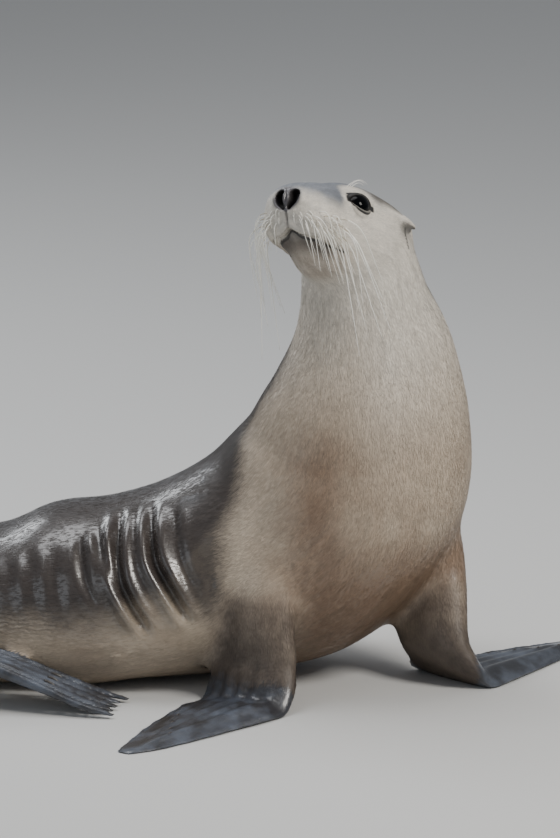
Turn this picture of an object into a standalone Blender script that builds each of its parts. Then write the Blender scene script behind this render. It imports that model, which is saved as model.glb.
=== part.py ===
"""A still, life-size model of a young female Australian sea lion, sitting up on its fore flippers.

Metres, +Z up. The trunk lies along X with the head end at +X, and the animal's right side faces -Y.
The flesh is lofted in lengths, welded into one body by a voxel remesh, and parted with thin cuts.
The finished model is moved so that its origin is on the floor under the middle of its box.
"""

import math
from functools import partial

import bmesh
import bpy
from mathutils import Matrix, Vector

# Driving dimensions -------------------------------------------------------------------------

GAP = 0.0003  # between the faces of two neighbouring nodes
FLESH_VOXEL = 0.0055
FLESH_SMOOTHING = 12  # passes over the welded flesh, which round the folds between the lofts
FLESH_TRIANGLES = 3000
HEAD_KEEP = 0.0002  # how strongly the head keeps its triangles when the flesh is thinned
HEAD_WEIGHT = 0.5
BODY = "sea_lion"
CUTTERS = "cutters"

# The spine, tail to skull: centre, half width, height above and depth below the centre.
SPINE = (
    ("tail_tip", (-0.775, 0.084, 0.060), 0.010, 0.008, 0.009),
    ("tail_root", (-0.700, 0.070, 0.080), 0.036, 0.028, 0.036),
    ("pelvis", (-0.620, 0.054, 0.084), 0.096, 0.062, 0.082),
    ("rump", (-0.510, 0.038, 0.094), 0.130, 0.090, 0.098),
    ("loin", (-0.378, 0.020, 0.098), 0.148, 0.101, 0.104),
    ("back", (-0.298, 0.012, 0.104), 0.155, 0.129, 0.110),
    ("waist", (-0.210, 0.006, 0.112), 0.160, 0.132, 0.118),
    ("ribs", (-0.100, 0.008, 0.140), 0.168, 0.137, 0.148),
    ("withers", (0.010, 0.008, 0.194), 0.172, 0.144, 0.184),
    ("chest", (0.084, 0.000, 0.276), 0.174, 0.134, 0.182),
    ("neck_root", (0.112, -0.012, 0.362), 0.158, 0.120, 0.140),
    ("neck", (0.121, -0.017, 0.450), 0.124, 0.100, 0.108),
    ("nape", (0.113, -0.024, 0.525), 0.092, 0.082, 0.086),
    ("skull_base", (0.102, -0.032, 0.588), 0.079, 0.068, 0.078),
    ("skull", (0.089, -0.060, 0.640), 0.058, 0.046, 0.054),
)
SPINE_RINGS = 66
SPINE_POINTS = 40
CHEST_HEADING = math.radians(35)  # the way the breast faces, from -Y towards +X
BACK_LEAN = 0.25  # how far the back of the neck still faces up
LYING_HEIGHT = 0.150  # a spine lower than this lies on the floor, and its underside is squared
LYING_SQUARENESS = 4.2

# The head: distance behind the nose, half width, top above and bottom below the nose's axis.
HEAD = (
    ("nose", 0.000, 0.017, 0.012, 0.012),
    ("nostrils", 0.006, 0.029, 0.020, 0.026),
    ("upper_lip", 0.016, 0.043, 0.027, 0.040),
    ("whisker_pads", 0.034, 0.054, 0.032, 0.058),
    ("muzzle", 0.057, 0.053, 0.038, 0.071),
    ("cheeks", 0.080, 0.052, 0.042, 0.078),
    ("eyes", 0.103, 0.057, 0.051, 0.083),
    ("brow", 0.128, 0.065, 0.056, 0.086),
    ("crown", 0.156, 0.070, 0.056, 0.087),
    ("ears", 0.185, 0.073, 0.053, 0.086),
    ("occiput", 0.212, 0.072, 0.046, 0.088),
    ("nape_end", 0.236, 0.058, 0.034, 0.072),
)
HEAD_RINGS = 44
HEAD_SQUARENESS = 2.1
JOWL_SQUARENESS = 2.5
NOSE = Vector((0.0070, -0.1630, 0.6960))
HEAD_YAW = math.radians(36)  # from -Y towards -X
HEAD_PITCH = math.radians(26)
HEAD_ROLL = math.radians(11.5)

# Places on the head run forward of the nose, to the animal's left, and above the nose's axis.
EYE_RADIUS = 0.0200
EYE_SEGMENTS = 14
EYE_RINGS = 9
EYE_PLACE = (-0.1055, 0.0425, 0.0125)
EAR_PLACE = (-0.1720, 0.0690, 0.0160)
EAR_LENGTH = 0.034
EAR_WIDTH = 0.0085
EAR_THICKNESS = 0.0050
EAR_POINTING = (-0.88, 0.38, -0.24)
EAR_PROFILE = ((-0.35, 0.9), (0.0, 1.0), (0.35, 1.05), (0.65, 0.85), (0.88, 0.5), (1.0, 0.2))
EAR_POINTS = 8
EAR_ROOT = 0.006  # how far out of the head the ear is parted from it

# Fore limbs: centre, half chord, half thickness.
RIGHT_ARM = (
    ("shoulder", (-0.010, -0.050, 0.260), 0.080, 0.050),
    ("upper_arm", (-0.026, -0.108, 0.190), 0.068, 0.046),
    ("elbow", (-0.029, -0.138, 0.140), 0.060, 0.038),
    ("forearm", (-0.032, -0.152, 0.094), 0.064, 0.033),
    ("wrist", (-0.034, -0.160, 0.050), 0.072, 0.028),
)
RIGHT_WRIST = Vector((-0.032, -0.172, 0.0))
RIGHT_FLIPPER_HEADING = math.radians(234)  # in plan, from +X towards +Y
LEFT_ARM = (
    ("shoulder", (0.150, 0.030, 0.260), 0.080, 0.050),
    ("upper_arm", (0.192, 0.012, 0.190), 0.068, 0.044),
    ("elbow", (0.206, -0.014, 0.140), 0.062, 0.038),
    ("forearm", (0.208, -0.042, 0.094), 0.062, 0.033),
    ("wrist", (0.210, -0.064, 0.050), 0.068, 0.028),
)
LEFT_WRIST = Vector((0.215, -0.076, 0.0))
LEFT_FLIPPER_HEADING = math.radians(47)
# Along a fore flipper from the wrist: leading and trailing edge either side of its axis, thickness.
FORE_FLIPPER = (
    ("palm", 0.026, 0.074, 0.072, 0.031),
    ("knuckles", 0.070, 0.073, 0.071, 0.025),
    ("fingers", 0.130, 0.062, 0.060, 0.020),
    ("finger_ends", 0.200, 0.049, 0.045, 0.015),
    ("flap", 0.262, 0.034, 0.026, 0.011),
    ("tip", 0.304, 0.014, 0.009, 0.007),
)
FORE_LIMB_RINGS = 46
FLIPPER_TRIANGLES = 400
LIMB_POINTS = 24
TRAILING_TAPER = 0.78  # how much thinner a flipper's trailing edge is than its leading edge
WRIST_PLACE = 0.43  # along the fore limb, where the fur ends
LIMB_OVERLAP = 0.07  # how far a limb's two loft halves run past the cut between them

# Hind limbs: centre, half chord, half thickness.
RIGHT_LEG = (
    ("hip", (-0.530, 0.000, 0.078), 0.078, 0.062),
    ("knee", (-0.582, -0.048, 0.072), 0.062, 0.050),
    ("ankle", (-0.572, -0.108, 0.066), 0.046, 0.034),
    ("heel", (-0.520, -0.148, 0.064), 0.040, 0.022),
)
LEFT_LEG = (
    ("hip", (-0.525, 0.106, 0.078), 0.078, 0.062),
    ("knee", (-0.575, 0.162, 0.072), 0.062, 0.050),
    ("ankle", (-0.560, 0.224, 0.066), 0.046, 0.034),
    ("heel", (-0.505, 0.262, 0.064), 0.040, 0.022),
)
# Along a hind foot from the heel: centre, half chord, half thickness.
RIGHT_FOOT = (
    ("instep", (-0.450, -0.164, 0.068), 0.038, 0.0140),
    ("toe_roots", (-0.380, -0.177, 0.060), 0.040, 0.0098),
    ("web", (-0.312, -0.191, 0.038), 0.043, 0.0064),
    ("toes", (-0.255, -0.202, 0.015), 0.047, 0.0044),
    ("tips", (-0.212, -0.210, 0.003), 0.042, 0.0026),
)
LEFT_FOOT = (
    ("instep", (-0.435, 0.278, 0.068), 0.038, 0.0140),
    ("toe_roots", (-0.365, 0.288, 0.060), 0.040, 0.0098),
    ("web", (-0.297, 0.298, 0.038), 0.043, 0.0064),
    ("toes", (-0.240, 0.306, 0.015), 0.047, 0.0044),
    ("tips", (-0.197, 0.312, 0.003), 0.042, 0.0026),
)
TOE_GAPS = (-0.58, -0.20, 0.20, 0.58)  # places across the foot between its five toes
TOE_GAP_HALF_WIDTH = 0.0034  # at the toes' tips, from where each gap narrows to nothing
TOE_GAP_HEIGHT = 0.120
TOE_GAP_BEYOND = 0.012
FOOT_TRIANGLES = 300
HIND_LIMB_RINGS = 34
HEEL_PLACE = 0.375  # along the hind limb, where the fur ends

# Where the flesh is parted: a point on the cut, its outward direction, a direction across it, and
# half the cutter's size along that direction and at right angles to it, and its depth.
HEAD_CUT = ((0.115, -0.030, 0.590), (-0.18, -0.22, 0.96), (1, 0, 0), 0.130, 0.150, 0.5)
NECK_CUT = ((0.115, -0.012, 0.420), (0.02, 0.0, 1.0), (1, 0, 0), 0.190, 0.190, 0.3)
TAIL_CUT = ((-0.685, 0.071, 0.080), (-1.0, 0.10, 0.0), (0, 1, 0), 0.080, 0.110, 0.2)
HIPS_CUT = ((-0.440, 0.048, 0.095), (-1.0, 0.10, 0.0), (0, 1, 0), 0.240, 0.240, 0.4)
TRUNK_CUT = ((-0.110, 0.025, 0.140), (-0.97, 0.10, -0.20), (0, 1, 0), 0.260, 0.260, 0.5)
FLOOR_CUT = ((-0.1, 0.0, 0.001), (0, 0, -1), (1, 0, 0), 1.2, 1.0, 0.2)
BODY_CUTS = (
    ("neck", NECK_CUT),
    ("tail", TAIL_CUT),
    ("hips", HIPS_CUT),
    ("trunk", TRUNK_CUT),
)
ARM_SLEEVE = (0.20, 0.50)  # the stretch of a fore limb that is parted from the chest
LEG_SLEEVE = (0.165, 0.465)
SLEEVE_MARGIN = 0.009
SLEEVE_GAP = 1.5  # the gap round a sleeve, as a multiple of the other gaps
SLEEVE_VOXEL = 0.007
SLEEVE_SMOOTHING = 12
SLEEVE_TRIANGLES = 310
WRIST_CUTTER = (0.090, 0.090, 0.120)
HEEL_CUTTER = (0.047, 0.047, 0.120)
LIMB_END_CUTTER = (0.600, 0.600, 0.600)
EAR_CUTTER = (0.016, 0.016, 0.045)
# The jaw: its cut runs along the mouth, below the nose's axis, and ends behind the mouth's corner.
MOUTH_HEIGHT = -0.0445
MOUTH_SLOPE = math.radians(7)
JAW_BACK = 0.100
JAW_FRONT = 0.040
JAW_DEPTH = 0.070
JAW_BREADTH = 0.180

# Colour, roughness and metallic value of each kind of surface.
FINISHES = {
    "back_fur": ((0.16, 0.14, 0.13), 0.45, 0.0),
    "pale_fur": ((0.62, 0.58, 0.52), 0.50, 0.0),
    "tan_fur": ((0.42, 0.33, 0.26), 0.50, 0.0),
    "flipper_skin": ((0.09, 0.09, 0.11), 0.30, 0.0),
    "eye": ((0.02, 0.012, 0.010), 0.05, 0.0),
}
NODE_FINISHES = {
    "head": "pale_fur",
    "lower_jaw": "pale_fur",
    "neck": "pale_fur",
    "chest": "tan_fur",
    "trunk": "back_fur",
    "hips": "back_fur",
    "tail": "back_fur",
    "fore_limb": "tan_fur",
    "fore_flipper": "flipper_skin",
    "hind_limb": "back_fur",
    "hind_flipper": "flipper_skin",
    "ear": "pale_fur",
    "eye": "eye",
}

# General shape tools ------------------------------------------------------------------------


def clear_scene():
    """Empties the scene before the model is made."""
    for thing in list(bpy.data.objects):
        bpy.data.objects.remove(thing, do_unlink=True)


def new_collection(name):
    """A collection of that name under the scene."""
    made = bpy.data.collections.new(name)
    bpy.context.scene.collection.children.link(made)
    return made


def between(values, place):
    """The value at a place from 0 to 1 along an evenly spaced row, on a Catmull-Rom curve."""
    last = len(values) - 1
    at = min(max(place, 0.0), 1.0) * last
    index = min(int(at), last - 1)
    u = at - index
    here = values[index]
    after = values[index + 1]
    before = values[index - 1] if index else here * 2 - after
    beyond = values[index + 2] if index + 2 <= last else after * 2 - here
    return (
        here * 2
        + (after - before) * u
        + (before * 2 - here * 5 + after * 4 - beyond) * (u * u)
        + (here * 3 - before - after * 3 + beyond) * (u * u * u)
    ) * 0.5


def tangent(values, place):
    """The direction of the curve through those points at that place."""
    step = 0.004
    return (between(values, place + step) - between(values, place - step)).normalized()


def signed_power(value, power):
    return math.copysign(abs(value) ** power, value)


def blend(low, high, share):
    return low + (high - low) * share


def squareness_near(height):
    """How square the underside is: round where the spine is raised, squared where it lies."""
    share = min(max((LYING_HEIGHT - height) / 0.05, 0.0), 1.0)
    return blend(2.0, LYING_SQUARENESS, share)


def oval(centre, side, rise, half_width, above, below, count, top_square=2.0, low_square=2.0):
    """A ring of points round a centre, with its own height above and depth below it."""
    ring = []
    for k in range(count):
        angle = math.tau * k / count
        square = top_square if math.sin(angle) > 0 else low_square
        reach = above if math.sin(angle) > 0 else below
        across = signed_power(math.cos(angle), 2 / square)
        along = signed_power(math.sin(angle), 2 / square)
        ring.append(centre + side * (half_width * across) + rise * (reach * along))
    return ring


def loft(name, rings, collection):
    """A closed body through rings of equal point counts, with a fan of faces over each end."""
    bm = bmesh.new()
    rows = [[bm.verts.new(point) for point in ring] for ring in rings]
    count = len(rings[0])
    for row, following in zip(rows, rows[1:]):
        for k in range(count):
            after = (k + 1) % count
            bm.faces.new((row[k], row[after], following[after], following[k]))
    for row in (rows[0], rows[-1]):
        middle = bm.verts.new(sum((v.co for v in row), Vector()) / count)
        for k in range(count):
            bm.faces.new((row[k], row[(k + 1) % count], middle))
    bmesh.ops.recalc_face_normals(bm, faces=bm.faces[:])
    mesh = bpy.data.meshes.new(name)
    bm.to_mesh(mesh)
    bm.free()
    made = bpy.data.objects.new(name, mesh)
    collection.objects.link(made)
    return made


def apply_modifiers(thing):
    """Keeps the shape that the object's modifiers give, and drops the modifiers."""
    graph = bpy.context.evaluated_depsgraph_get()
    shaped = bpy.data.meshes.new_from_object(thing.evaluated_get(graph))
    thing.modifiers.clear()
    old = thing.data
    thing.data = shaped
    bpy.data.meshes.remove(old)


def joined(name, things, collection):
    """One object that holds all the given meshes, which are used up."""
    bm = bmesh.new()
    for thing in things:
        bm.from_mesh(thing.data)
        bpy.data.objects.remove(thing, do_unlink=True)
    mesh = bpy.data.meshes.new(name)
    bm.to_mesh(mesh)
    bm.free()
    made = bpy.data.objects.new(name, mesh)
    collection.objects.link(made)
    return made


def welded(thing, voxel, smoothing):
    """Makes one smooth skin of overlapping closed bodies."""
    remesh = thing.modifiers.new("weld", "REMESH")
    remesh.mode = "VOXEL"
    remesh.voxel_size = voxel
    smooth = thing.modifiers.new("soften", "SMOOTH")
    smooth.factor = 0.5
    smooth.iterations = smoothing
    apply_modifiers(thing)


def thinned(thing, triangles, kept_more=""):
    """Thins a mesh to about so many triangles, fewer being lost in the named vertex group."""
    thing.data.calc_loop_triangles()
    decimate = thing.modifiers.new("thin", "DECIMATE")
    decimate.ratio = triangles / len(thing.data.loop_triangles)
    decimate.vertex_group = kept_more
    decimate.invert_vertex_group = bool(kept_more)
    decimate.vertex_group_factor = HEAD_KEEP
    apply_modifiers(thing)


def box_beyond(cut, grow=0.0):
    """A cutter whose near face is the cut, moved inward by the growth."""
    point, direction, across, half_width, half_height, depth = cut
    outward = Vector(direction).normalized()
    side = Vector(across)
    side = (side - outward * side.dot(outward)).normalized()
    return oriented_box(
        Vector(point) + outward * (depth / 2 - grow),
        (side, outward.cross(side), outward),
        (half_width * 2, half_height * 2, depth),
    )


def as_cutter(thing):
    """Marks an object as a helper that only cuts."""
    thing.hide_render = True
    thing.display_type = "WIRE"
    return thing


def oriented_box(centre, axes, sizes):
    """A box of those sizes along three directions at right angles."""
    bm = bmesh.new()
    bmesh.ops.create_cube(bm, size=1.0)
    turn = Matrix(axes).transposed().to_4x4()
    bmesh.ops.scale(bm, vec=sizes, verts=bm.verts[:])
    bmesh.ops.transform(bm, matrix=Matrix.Translation(centre) @ turn, verts=bm.verts[:])
    bmesh.ops.recalc_face_normals(bm, faces=bm.faces[:])
    mesh = bpy.data.meshes.new("cutter")
    bm.to_mesh(mesh)
    bm.free()
    made = bpy.data.objects.new("cutter", mesh)
    bpy.data.collections[CUTTERS].objects.link(made)
    return as_cutter(made)


def combine(thing, other, operation):
    """Cuts, joins or limits an object by another, which is used up."""
    boolean = thing.modifiers.new("combine", "BOOLEAN")
    boolean.operation = operation
    boolean.solver = "EXACT"
    boolean.object = other
    apply_modifiers(thing)
    bpy.data.objects.remove(other, do_unlink=True)


def parted(body, name, cutter_of):
    """Takes what lies inside a cutter off a body, as a new object with a thin gap between them.

    cutter_of makes the cutter, grown on its cutting faces by the length that it is given.
    """
    piece = body.copy()
    piece.data = body.data.copy()
    piece.name = name
    body.users_collection[0].objects.link(piece)
    combine(piece, cutter_of(-GAP / 2), "INTERSECT")
    combine(body, cutter_of(GAP / 2), "DIFFERENCE")
    return piece


# The animal ---------------------------------------------------------------------------------


def head_axes():
    """The head's forward, left and up directions."""
    forward = Vector(
        (
            -math.cos(HEAD_PITCH) * math.sin(HEAD_YAW),
            -math.cos(HEAD_PITCH) * math.cos(HEAD_YAW),
            math.sin(HEAD_PITCH),
        )
    )
    level_left = Vector((math.cos(HEAD_YAW), -math.sin(HEAD_YAW), 0))
    level_up = forward.cross(level_left)
    left = level_left * math.cos(HEAD_ROLL) + level_up * math.sin(HEAD_ROLL)
    return forward, left, forward.cross(left)


def on_head(place, side=1):
    """A place on the head as a world point; side -1 mirrors it to the animal's right."""
    forward, left, up = head_axes()
    return NOSE + forward * place[0] + left * (place[1] * side) + up * place[2]


def make_column(collection):
    """The trunk, breast and neck as one loft along the spine."""
    centres = [Vector(station[1]) for station in SPINE]
    widths = [station[2] for station in SPINE]
    heights = [station[3] for station in SPINE]
    depths = [station[4] for station in SPINE]
    nape = Vector((-math.sin(CHEST_HEADING), math.cos(CHEST_HEADING), BACK_LEAN))
    rings = []
    for k in range(SPINE_RINGS + 1):
        place = k / SPINE_RINGS
        centre = between(centres, place)
        along = tangent(centres, place)
        turned = min(max(along.z, 0.0), 1.0)
        back = Vector((0, 0, 1)).lerp(nape, turned)
        back = (back - along * back.dot(along)).normalized()
        rings.append(
            oval(
                centre,
                back.cross(along),
                back,
                between(widths, place),
                between(heights, place),
                between(depths, place),
                SPINE_POINTS,
                low_square=squareness_near(centre.z),
            )
        )
    return loft("column", rings, collection)


def make_skull(collection):
    """The head as a loft along its own axis, from the nose back into the neck."""
    forward, left, up = head_axes()
    values = [[station[k] for station in HEAD] for k in (1, 2, 3, 4)]
    rings = []
    for k in range(HEAD_RINGS + 1):
        behind, half_width, above, below = [between(row, k / HEAD_RINGS) for row in values]
        rings.append(
            oval(
                NOSE - forward * behind,
                left,
                up,
                half_width,
                above,
                below,
                SPINE_POINTS,
                HEAD_SQUARENESS,
                JOWL_SQUARENESS,
            )
        )
    return loft("skull", rings, collection)


def limb_ring(centre, chord, back, lead, trail, thickness, flat):
    """A limb's section: an oval where flat is 0, a wing lying on its belly where it is 1."""
    above = thickness * blend(0.5, 0.86, flat)
    below = thickness - above
    ring = []
    for k in range(LIMB_POINTS):
        angle = math.tau * k / LIMB_POINTS
        across = math.cos(angle)
        thinner = 1 - flat * TRAILING_TAPER * (1 - across) / 2
        rise = math.sin(angle) * thinner * (above if math.sin(angle) > 0 else below)
        ring.append(centre + chord * ((lead - trail) / 2 + across * (lead + trail) / 2) + back * rise)
    return ring


def fore_limb_rings(arm, wrist, heading, hand):
    """Rings from the shoulder to the flipper's tip; hand is 1 for the right limb, -1 for the left."""
    outward = Vector((math.cos(heading), math.sin(heading), 0))
    chord = Vector((-outward.y, outward.x, 0)) * hand
    centres = [Vector(station[1]) for station in arm]
    leads = [station[2] for station in arm]
    trails = list(leads)
    thicknesses = [station[3] * 2 for station in arm]
    flats = [0.0] * len(arm)
    for _, reach, lead, trail, thickness in FORE_FLIPPER:
        centres.append(wrist + outward * reach + Vector((0, 0, thickness * 0.14)))
        leads.append(lead)
        trails.append(trail)
        thicknesses.append(thickness)
        flats.append(1.0)
    rings = []
    for k in range(FORE_LIMB_RINGS + 1):
        place = k / FORE_LIMB_RINGS
        centre = between(centres, place)
        along = tangent(centres, place)
        along = (along - chord * along.dot(chord)).normalized()
        rings.append(
            limb_ring(
                centre,
                chord,
                along.cross(chord) * hand,
                between(leads, place),
                between(trails, place),
                between(thicknesses, place),
                min(max(between(flats, place), 0.0), 1.0),
            )
        )
    return rings


def limb_cut(rings, place, size):
    """The cut across a limb at one of its rings, facing its far end, with that cutter's size."""
    index = round(place * (len(rings) - 1))
    centres = [sum(ring, Vector()) / len(ring) for ring in rings[index - 1 : index + 2]]
    chord = rings[index][0] - rings[index][LIMB_POINTS // 2]
    return centres[1], centres[2] - centres[0], chord, *size


def halves(rings, place):
    """The near and the far part of a limb's rings, which overlap around the cut."""
    last = len(rings) - 1
    near_end = round((place + LIMB_OVERLAP) * last)
    far_start = round((place - LIMB_OVERLAP) * last)
    return rings[: near_end + 1], rings[far_start:]


def sleeve(rings, stretch):
    """A closed body round a stretch of a limb, a little clear of its surface."""
    last = len(rings) - 1
    near = round(stretch[0] * last)
    far = round(stretch[1] * last)
    wider = []
    for ring in rings[near : far + 1]:
        centre = sum(ring, Vector()) / len(ring)
        wider.append([point + (point - centre).normalized() * SLEEVE_MARGIN for point in ring])
    made = as_cutter(loft("sleeve", wider, bpy.data.collections[CUTTERS]))
    welded(made, SLEEVE_VOXEL, SLEEVE_SMOOTHING)
    thinned(made, SLEEVE_TRIANGLES)
    return made


def swollen(thing, grow):
    """A copy of a cutter whose surface stands out further by that much."""
    made = thing.copy()
    made.data = thing.data.copy()
    bpy.data.collections[CUTTERS].objects.link(made)
    for vertex in thing.data.vertices:
        made.data.vertices[vertex.index].co = vertex.co + vertex.normal * (grow * SLEEVE_GAP)
    return made


def hind_limb_rings(leg, foot):
    """Rings from the hip, round the heel and forward to the web between the toes."""
    stations = leg + foot
    centres = [Vector(station[1]) for station in stations]
    halves_wide = [station[2] for station in stations]
    halves_thick = [station[3] for station in stations]
    rings = []
    for k in range(HIND_LIMB_RINGS + 1):
        place = k / HIND_LIMB_RINGS
        along = tangent(centres, place)
        chord = along.cross(Vector((0, 0, 1))).normalized()
        half_thick = between(halves_thick, place)
        rings.append(
            oval(
                between(centres, place),
                chord,
                chord.cross(along),
                between(halves_wide, place),
                half_thick,
                half_thick,
                LIMB_POINTS,
            )
        )
    return rings


def toe_gap(foot, share):
    """A wedge that parts two toes, from the web out past their tips."""
    web = Vector(foot[2][1])
    tips = Vector(foot[-1][1])
    forward = ((tips - web) * Vector((1, 1, 0))).normalized()
    side = forward.cross(Vector((0, 0, 1)))
    apex = web + side * (foot[2][2] * share)
    mouth = tips + side * (foot[-1][2] * share) + forward * TOE_GAP_BEYOND
    corners = [apex, mouth + side * TOE_GAP_HALF_WIDTH, mouth - side * TOE_GAP_HALF_WIDTH]
    rings = []
    for height in (-TOE_GAP_HEIGHT / 2, TOE_GAP_HEIGHT / 2):
        rings.append([Vector((corner.x, corner.y, height)) for corner in corners])
    return as_cutter(loft("cutter", rings, bpy.data.collections[CUTTERS]))


def make_eye(name, side, radius, collection):
    """An eyeball, or its socket where the radius is larger."""
    bm = bmesh.new()
    bmesh.ops.create_uvsphere(bm, u_segments=EYE_SEGMENTS, v_segments=EYE_RINGS, radius=radius)
    mesh = bpy.data.meshes.new(name)
    bm.to_mesh(mesh)
    bm.free()
    made = bpy.data.objects.new(name, mesh)
    made.location = on_head(EYE_PLACE, side)
    collection.objects.link(made)
    return made


def ear_pointing(side):
    forward, left, up = head_axes()
    return (
        forward * EAR_POINTING[0] + left * (EAR_POINTING[1] * side) + up * EAR_POINTING[2]
    ).normalized()


def make_ear(side, collection):
    """A small pointed ear, as a leaf-shaped loft that starts inside the head."""
    pointing = ear_pointing(side)
    up = head_axes()[2]
    broad = (up - pointing * up.dot(pointing)).normalized()
    rings = []
    for share, fullness in EAR_PROFILE:
        centre = on_head(EAR_PLACE, side) + pointing * (EAR_LENGTH * share)
        rings.append(
            oval(
                centre,
                broad,
                pointing.cross(broad),
                EAR_WIDTH * fullness,
                EAR_THICKNESS * fullness,
                EAR_THICKNESS * fullness,
                EAR_POINTS,
            )
        )
    return loft("ear", rings, collection)


def jaw_cutter(grow):
    """A box round the lower jaw, whose top face runs along the mouth."""
    forward, left, up = head_axes()
    along = forward * math.cos(MOUTH_SLOPE) + up * math.sin(MOUTH_SLOPE)
    upward = along.cross(left)
    reach = JAW_BACK + JAW_FRONT + grow
    depth = JAW_DEPTH + grow
    corner = NOSE - forward * (JAW_BACK + grow) + up * MOUTH_HEIGHT
    middle = corner + along * (reach / 2) + upward * (grow - depth / 2)
    return oriented_box(middle, (along, left, upward), (reach, JAW_BREADTH, depth))


def make_flesh(collection, limbs):
    """The whole furred body as one welded, smoothed and thinned skin."""
    lofts = [make_column(collection), make_skull(collection)]
    for rings, place in limbs:
        lofts.append(loft("limb", halves(rings, place)[0], collection))
    flesh = joined("chest", lofts, collection)
    welded(flesh, FLESH_VOXEL, FLESH_SMOOTHING)
    combine(flesh, box_beyond(FLOOR_CUT), "DIFFERENCE")
    head = flesh.vertex_groups.new(name="head")
    reach = HEAD[-1][1]
    for vertex in flesh.data.vertices:
        if (vertex.co - NOSE).length < reach:
            head.add([vertex.index], HEAD_WEIGHT, "REPLACE")
    thinned(flesh, FLESH_TRIANGLES, "head")
    flesh.vertex_groups.clear()
    return flesh


def make_sea_lion():
    """Builds every node of the animal, each as one closed body."""
    collection = new_collection(BODY)
    new_collection(CUTTERS).hide_render = True
    fore = {
        "right": fore_limb_rings(RIGHT_ARM, RIGHT_WRIST, RIGHT_FLIPPER_HEADING, 1),
        "left": fore_limb_rings(LEFT_ARM, LEFT_WRIST, LEFT_FLIPPER_HEADING, -1),
    }
    feet = {
        "right": (RIGHT_LEG, RIGHT_FOOT),
        "left": (LEFT_LEG, LEFT_FOOT),
    }
    hind = {name: hind_limb_rings(leg, foot) for name, (leg, foot) in feet.items()}
    limbs = [(rings, WRIST_PLACE) for rings in fore.values()]
    limbs += [(rings, HEEL_PLACE) for rings in hind.values()]
    flesh = make_flesh(collection, limbs)
    for name, rings in fore.items():
        wrist = limb_cut(rings, WRIST_PLACE, WRIST_CUTTER)
        combine(flesh, box_beyond(wrist, GAP / 2), "DIFFERENCE")
        flipper = loft("fore_flipper_" + name, halves(rings, WRIST_PLACE)[1], collection)
        thinned(flipper, FLIPPER_TRIANGLES)
        combine(flipper, box_beyond((*wrist[:3], *LIMB_END_CUTTER), -GAP / 2), "INTERSECT")
        combine(flipper, box_beyond(FLOOR_CUT), "DIFFERENCE")
    for name, rings in hind.items():
        heel = limb_cut(rings, HEEL_PLACE, HEEL_CUTTER)
        combine(flesh, box_beyond(heel, GAP / 2), "DIFFERENCE")
        flipper = loft("hind_flipper_" + name, halves(rings, HEEL_PLACE)[1], collection)
        thinned(flipper, FOOT_TRIANGLES)
        for share in TOE_GAPS:
            combine(flipper, toe_gap(feet[name][1], share), "DIFFERENCE")
        combine(flipper, box_beyond((*heel[:3], *LIMB_END_CUTTER), -GAP / 2), "INTERSECT")
        combine(flipper, box_beyond(FLOOR_CUT), "DIFFERENCE")
    head = parted(flesh, "head", partial(box_beyond, HEAD_CUT))
    for limb, sides, stretch in (("fore", fore, ARM_SLEEVE), ("hind", hind, LEG_SLEEVE)):
        for name, rings in sides.items():
            around = sleeve(rings, stretch)
            parted(flesh, f"{limb}_limb_{name}", partial(swollen, around))
            bpy.data.objects.remove(around, do_unlink=True)
    for name, cut in BODY_CUTS:
        parted(flesh, name, partial(box_beyond, cut))
    for name, side in (("left", 1), ("right", -1)):
        combine(head, make_ear(side, collection), "UNION")
        root = on_head(EAR_PLACE, side) + ear_pointing(side) * EAR_ROOT
        cut = (root, ear_pointing(side), head_axes()[2], *EAR_CUTTER)
        parted(head, "ear_" + name, partial(box_beyond, cut))
        combine(head, make_eye("socket", side, EYE_RADIUS + GAP, collection), "DIFFERENCE")
        make_eye("eye_" + name, side, EYE_RADIUS, collection)
    parted(head, "lower_jaw", jaw_cutter)


def dress():
    """Gives each node its own material and smooth shading."""
    for thing in bpy.data.collections[BODY].objects:
        kind = thing.name.removesuffix("_right").removesuffix("_left")
        colour, roughness, metallic = FINISHES[NODE_FINISHES[kind]]
        material = bpy.data.materials.new(thing.name)
        material.use_nodes = True
        shader = material.node_tree.nodes["Principled BSDF"]
        shader.inputs["Base Color"].default_value = (*colour, 1.0)
        shader.inputs["Roughness"].default_value = roughness
        shader.inputs["Metallic"].default_value = metallic
        thing.data.materials.clear()
        thing.data.materials.append(material)
        thing.data.shade_smooth()
        thing.data.set_sharp_from_angle(angle=math.radians(50))


def centre_on_floor():
    """Hangs every node on one empty and moves it so that the box's middle is over the origin."""
    things = list(bpy.data.collections[BODY].objects)
    bpy.context.view_layer.update()
    corners = [thing.matrix_world @ Vector(corner) for thing in things for corner in thing.bound_box]
    low = Vector(min(corner[axis] for corner in corners) for axis in range(3))
    high = Vector(max(corner[axis] for corner in corners) for axis in range(3))
    root = bpy.data.objects.new(BODY, None)
    root.location = (-(low.x + high.x) / 2, -(low.y + high.y) / 2, -low.z)
    bpy.data.collections[BODY].objects.link(root)
    for thing in things:
        thing.parent = root


clear_scene()
make_sea_lion()
dress()
centre_on_floor()
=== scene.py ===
"""A young female Australian sea lion, life size, lying propped on her fore flippers.

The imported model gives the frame. One hide replaces every solid of flesh, and the
eyeballs, whiskers, claws and the coat of short hair are pieces of their own.
Lengths are metres, and the ground is at zero.
"""

import logging
import math
from dataclasses import dataclass, field
from enum import Enum
from functools import reduce
from typing import Sequence

import bmesh
import bpy
import numpy as np
from bpy.types import ID, Material, Mesh, Node, NodeSocket, NodeTree, Object, bpy_prop_collection
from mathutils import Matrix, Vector
from mathutils.bvhtree import BVHTree


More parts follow.
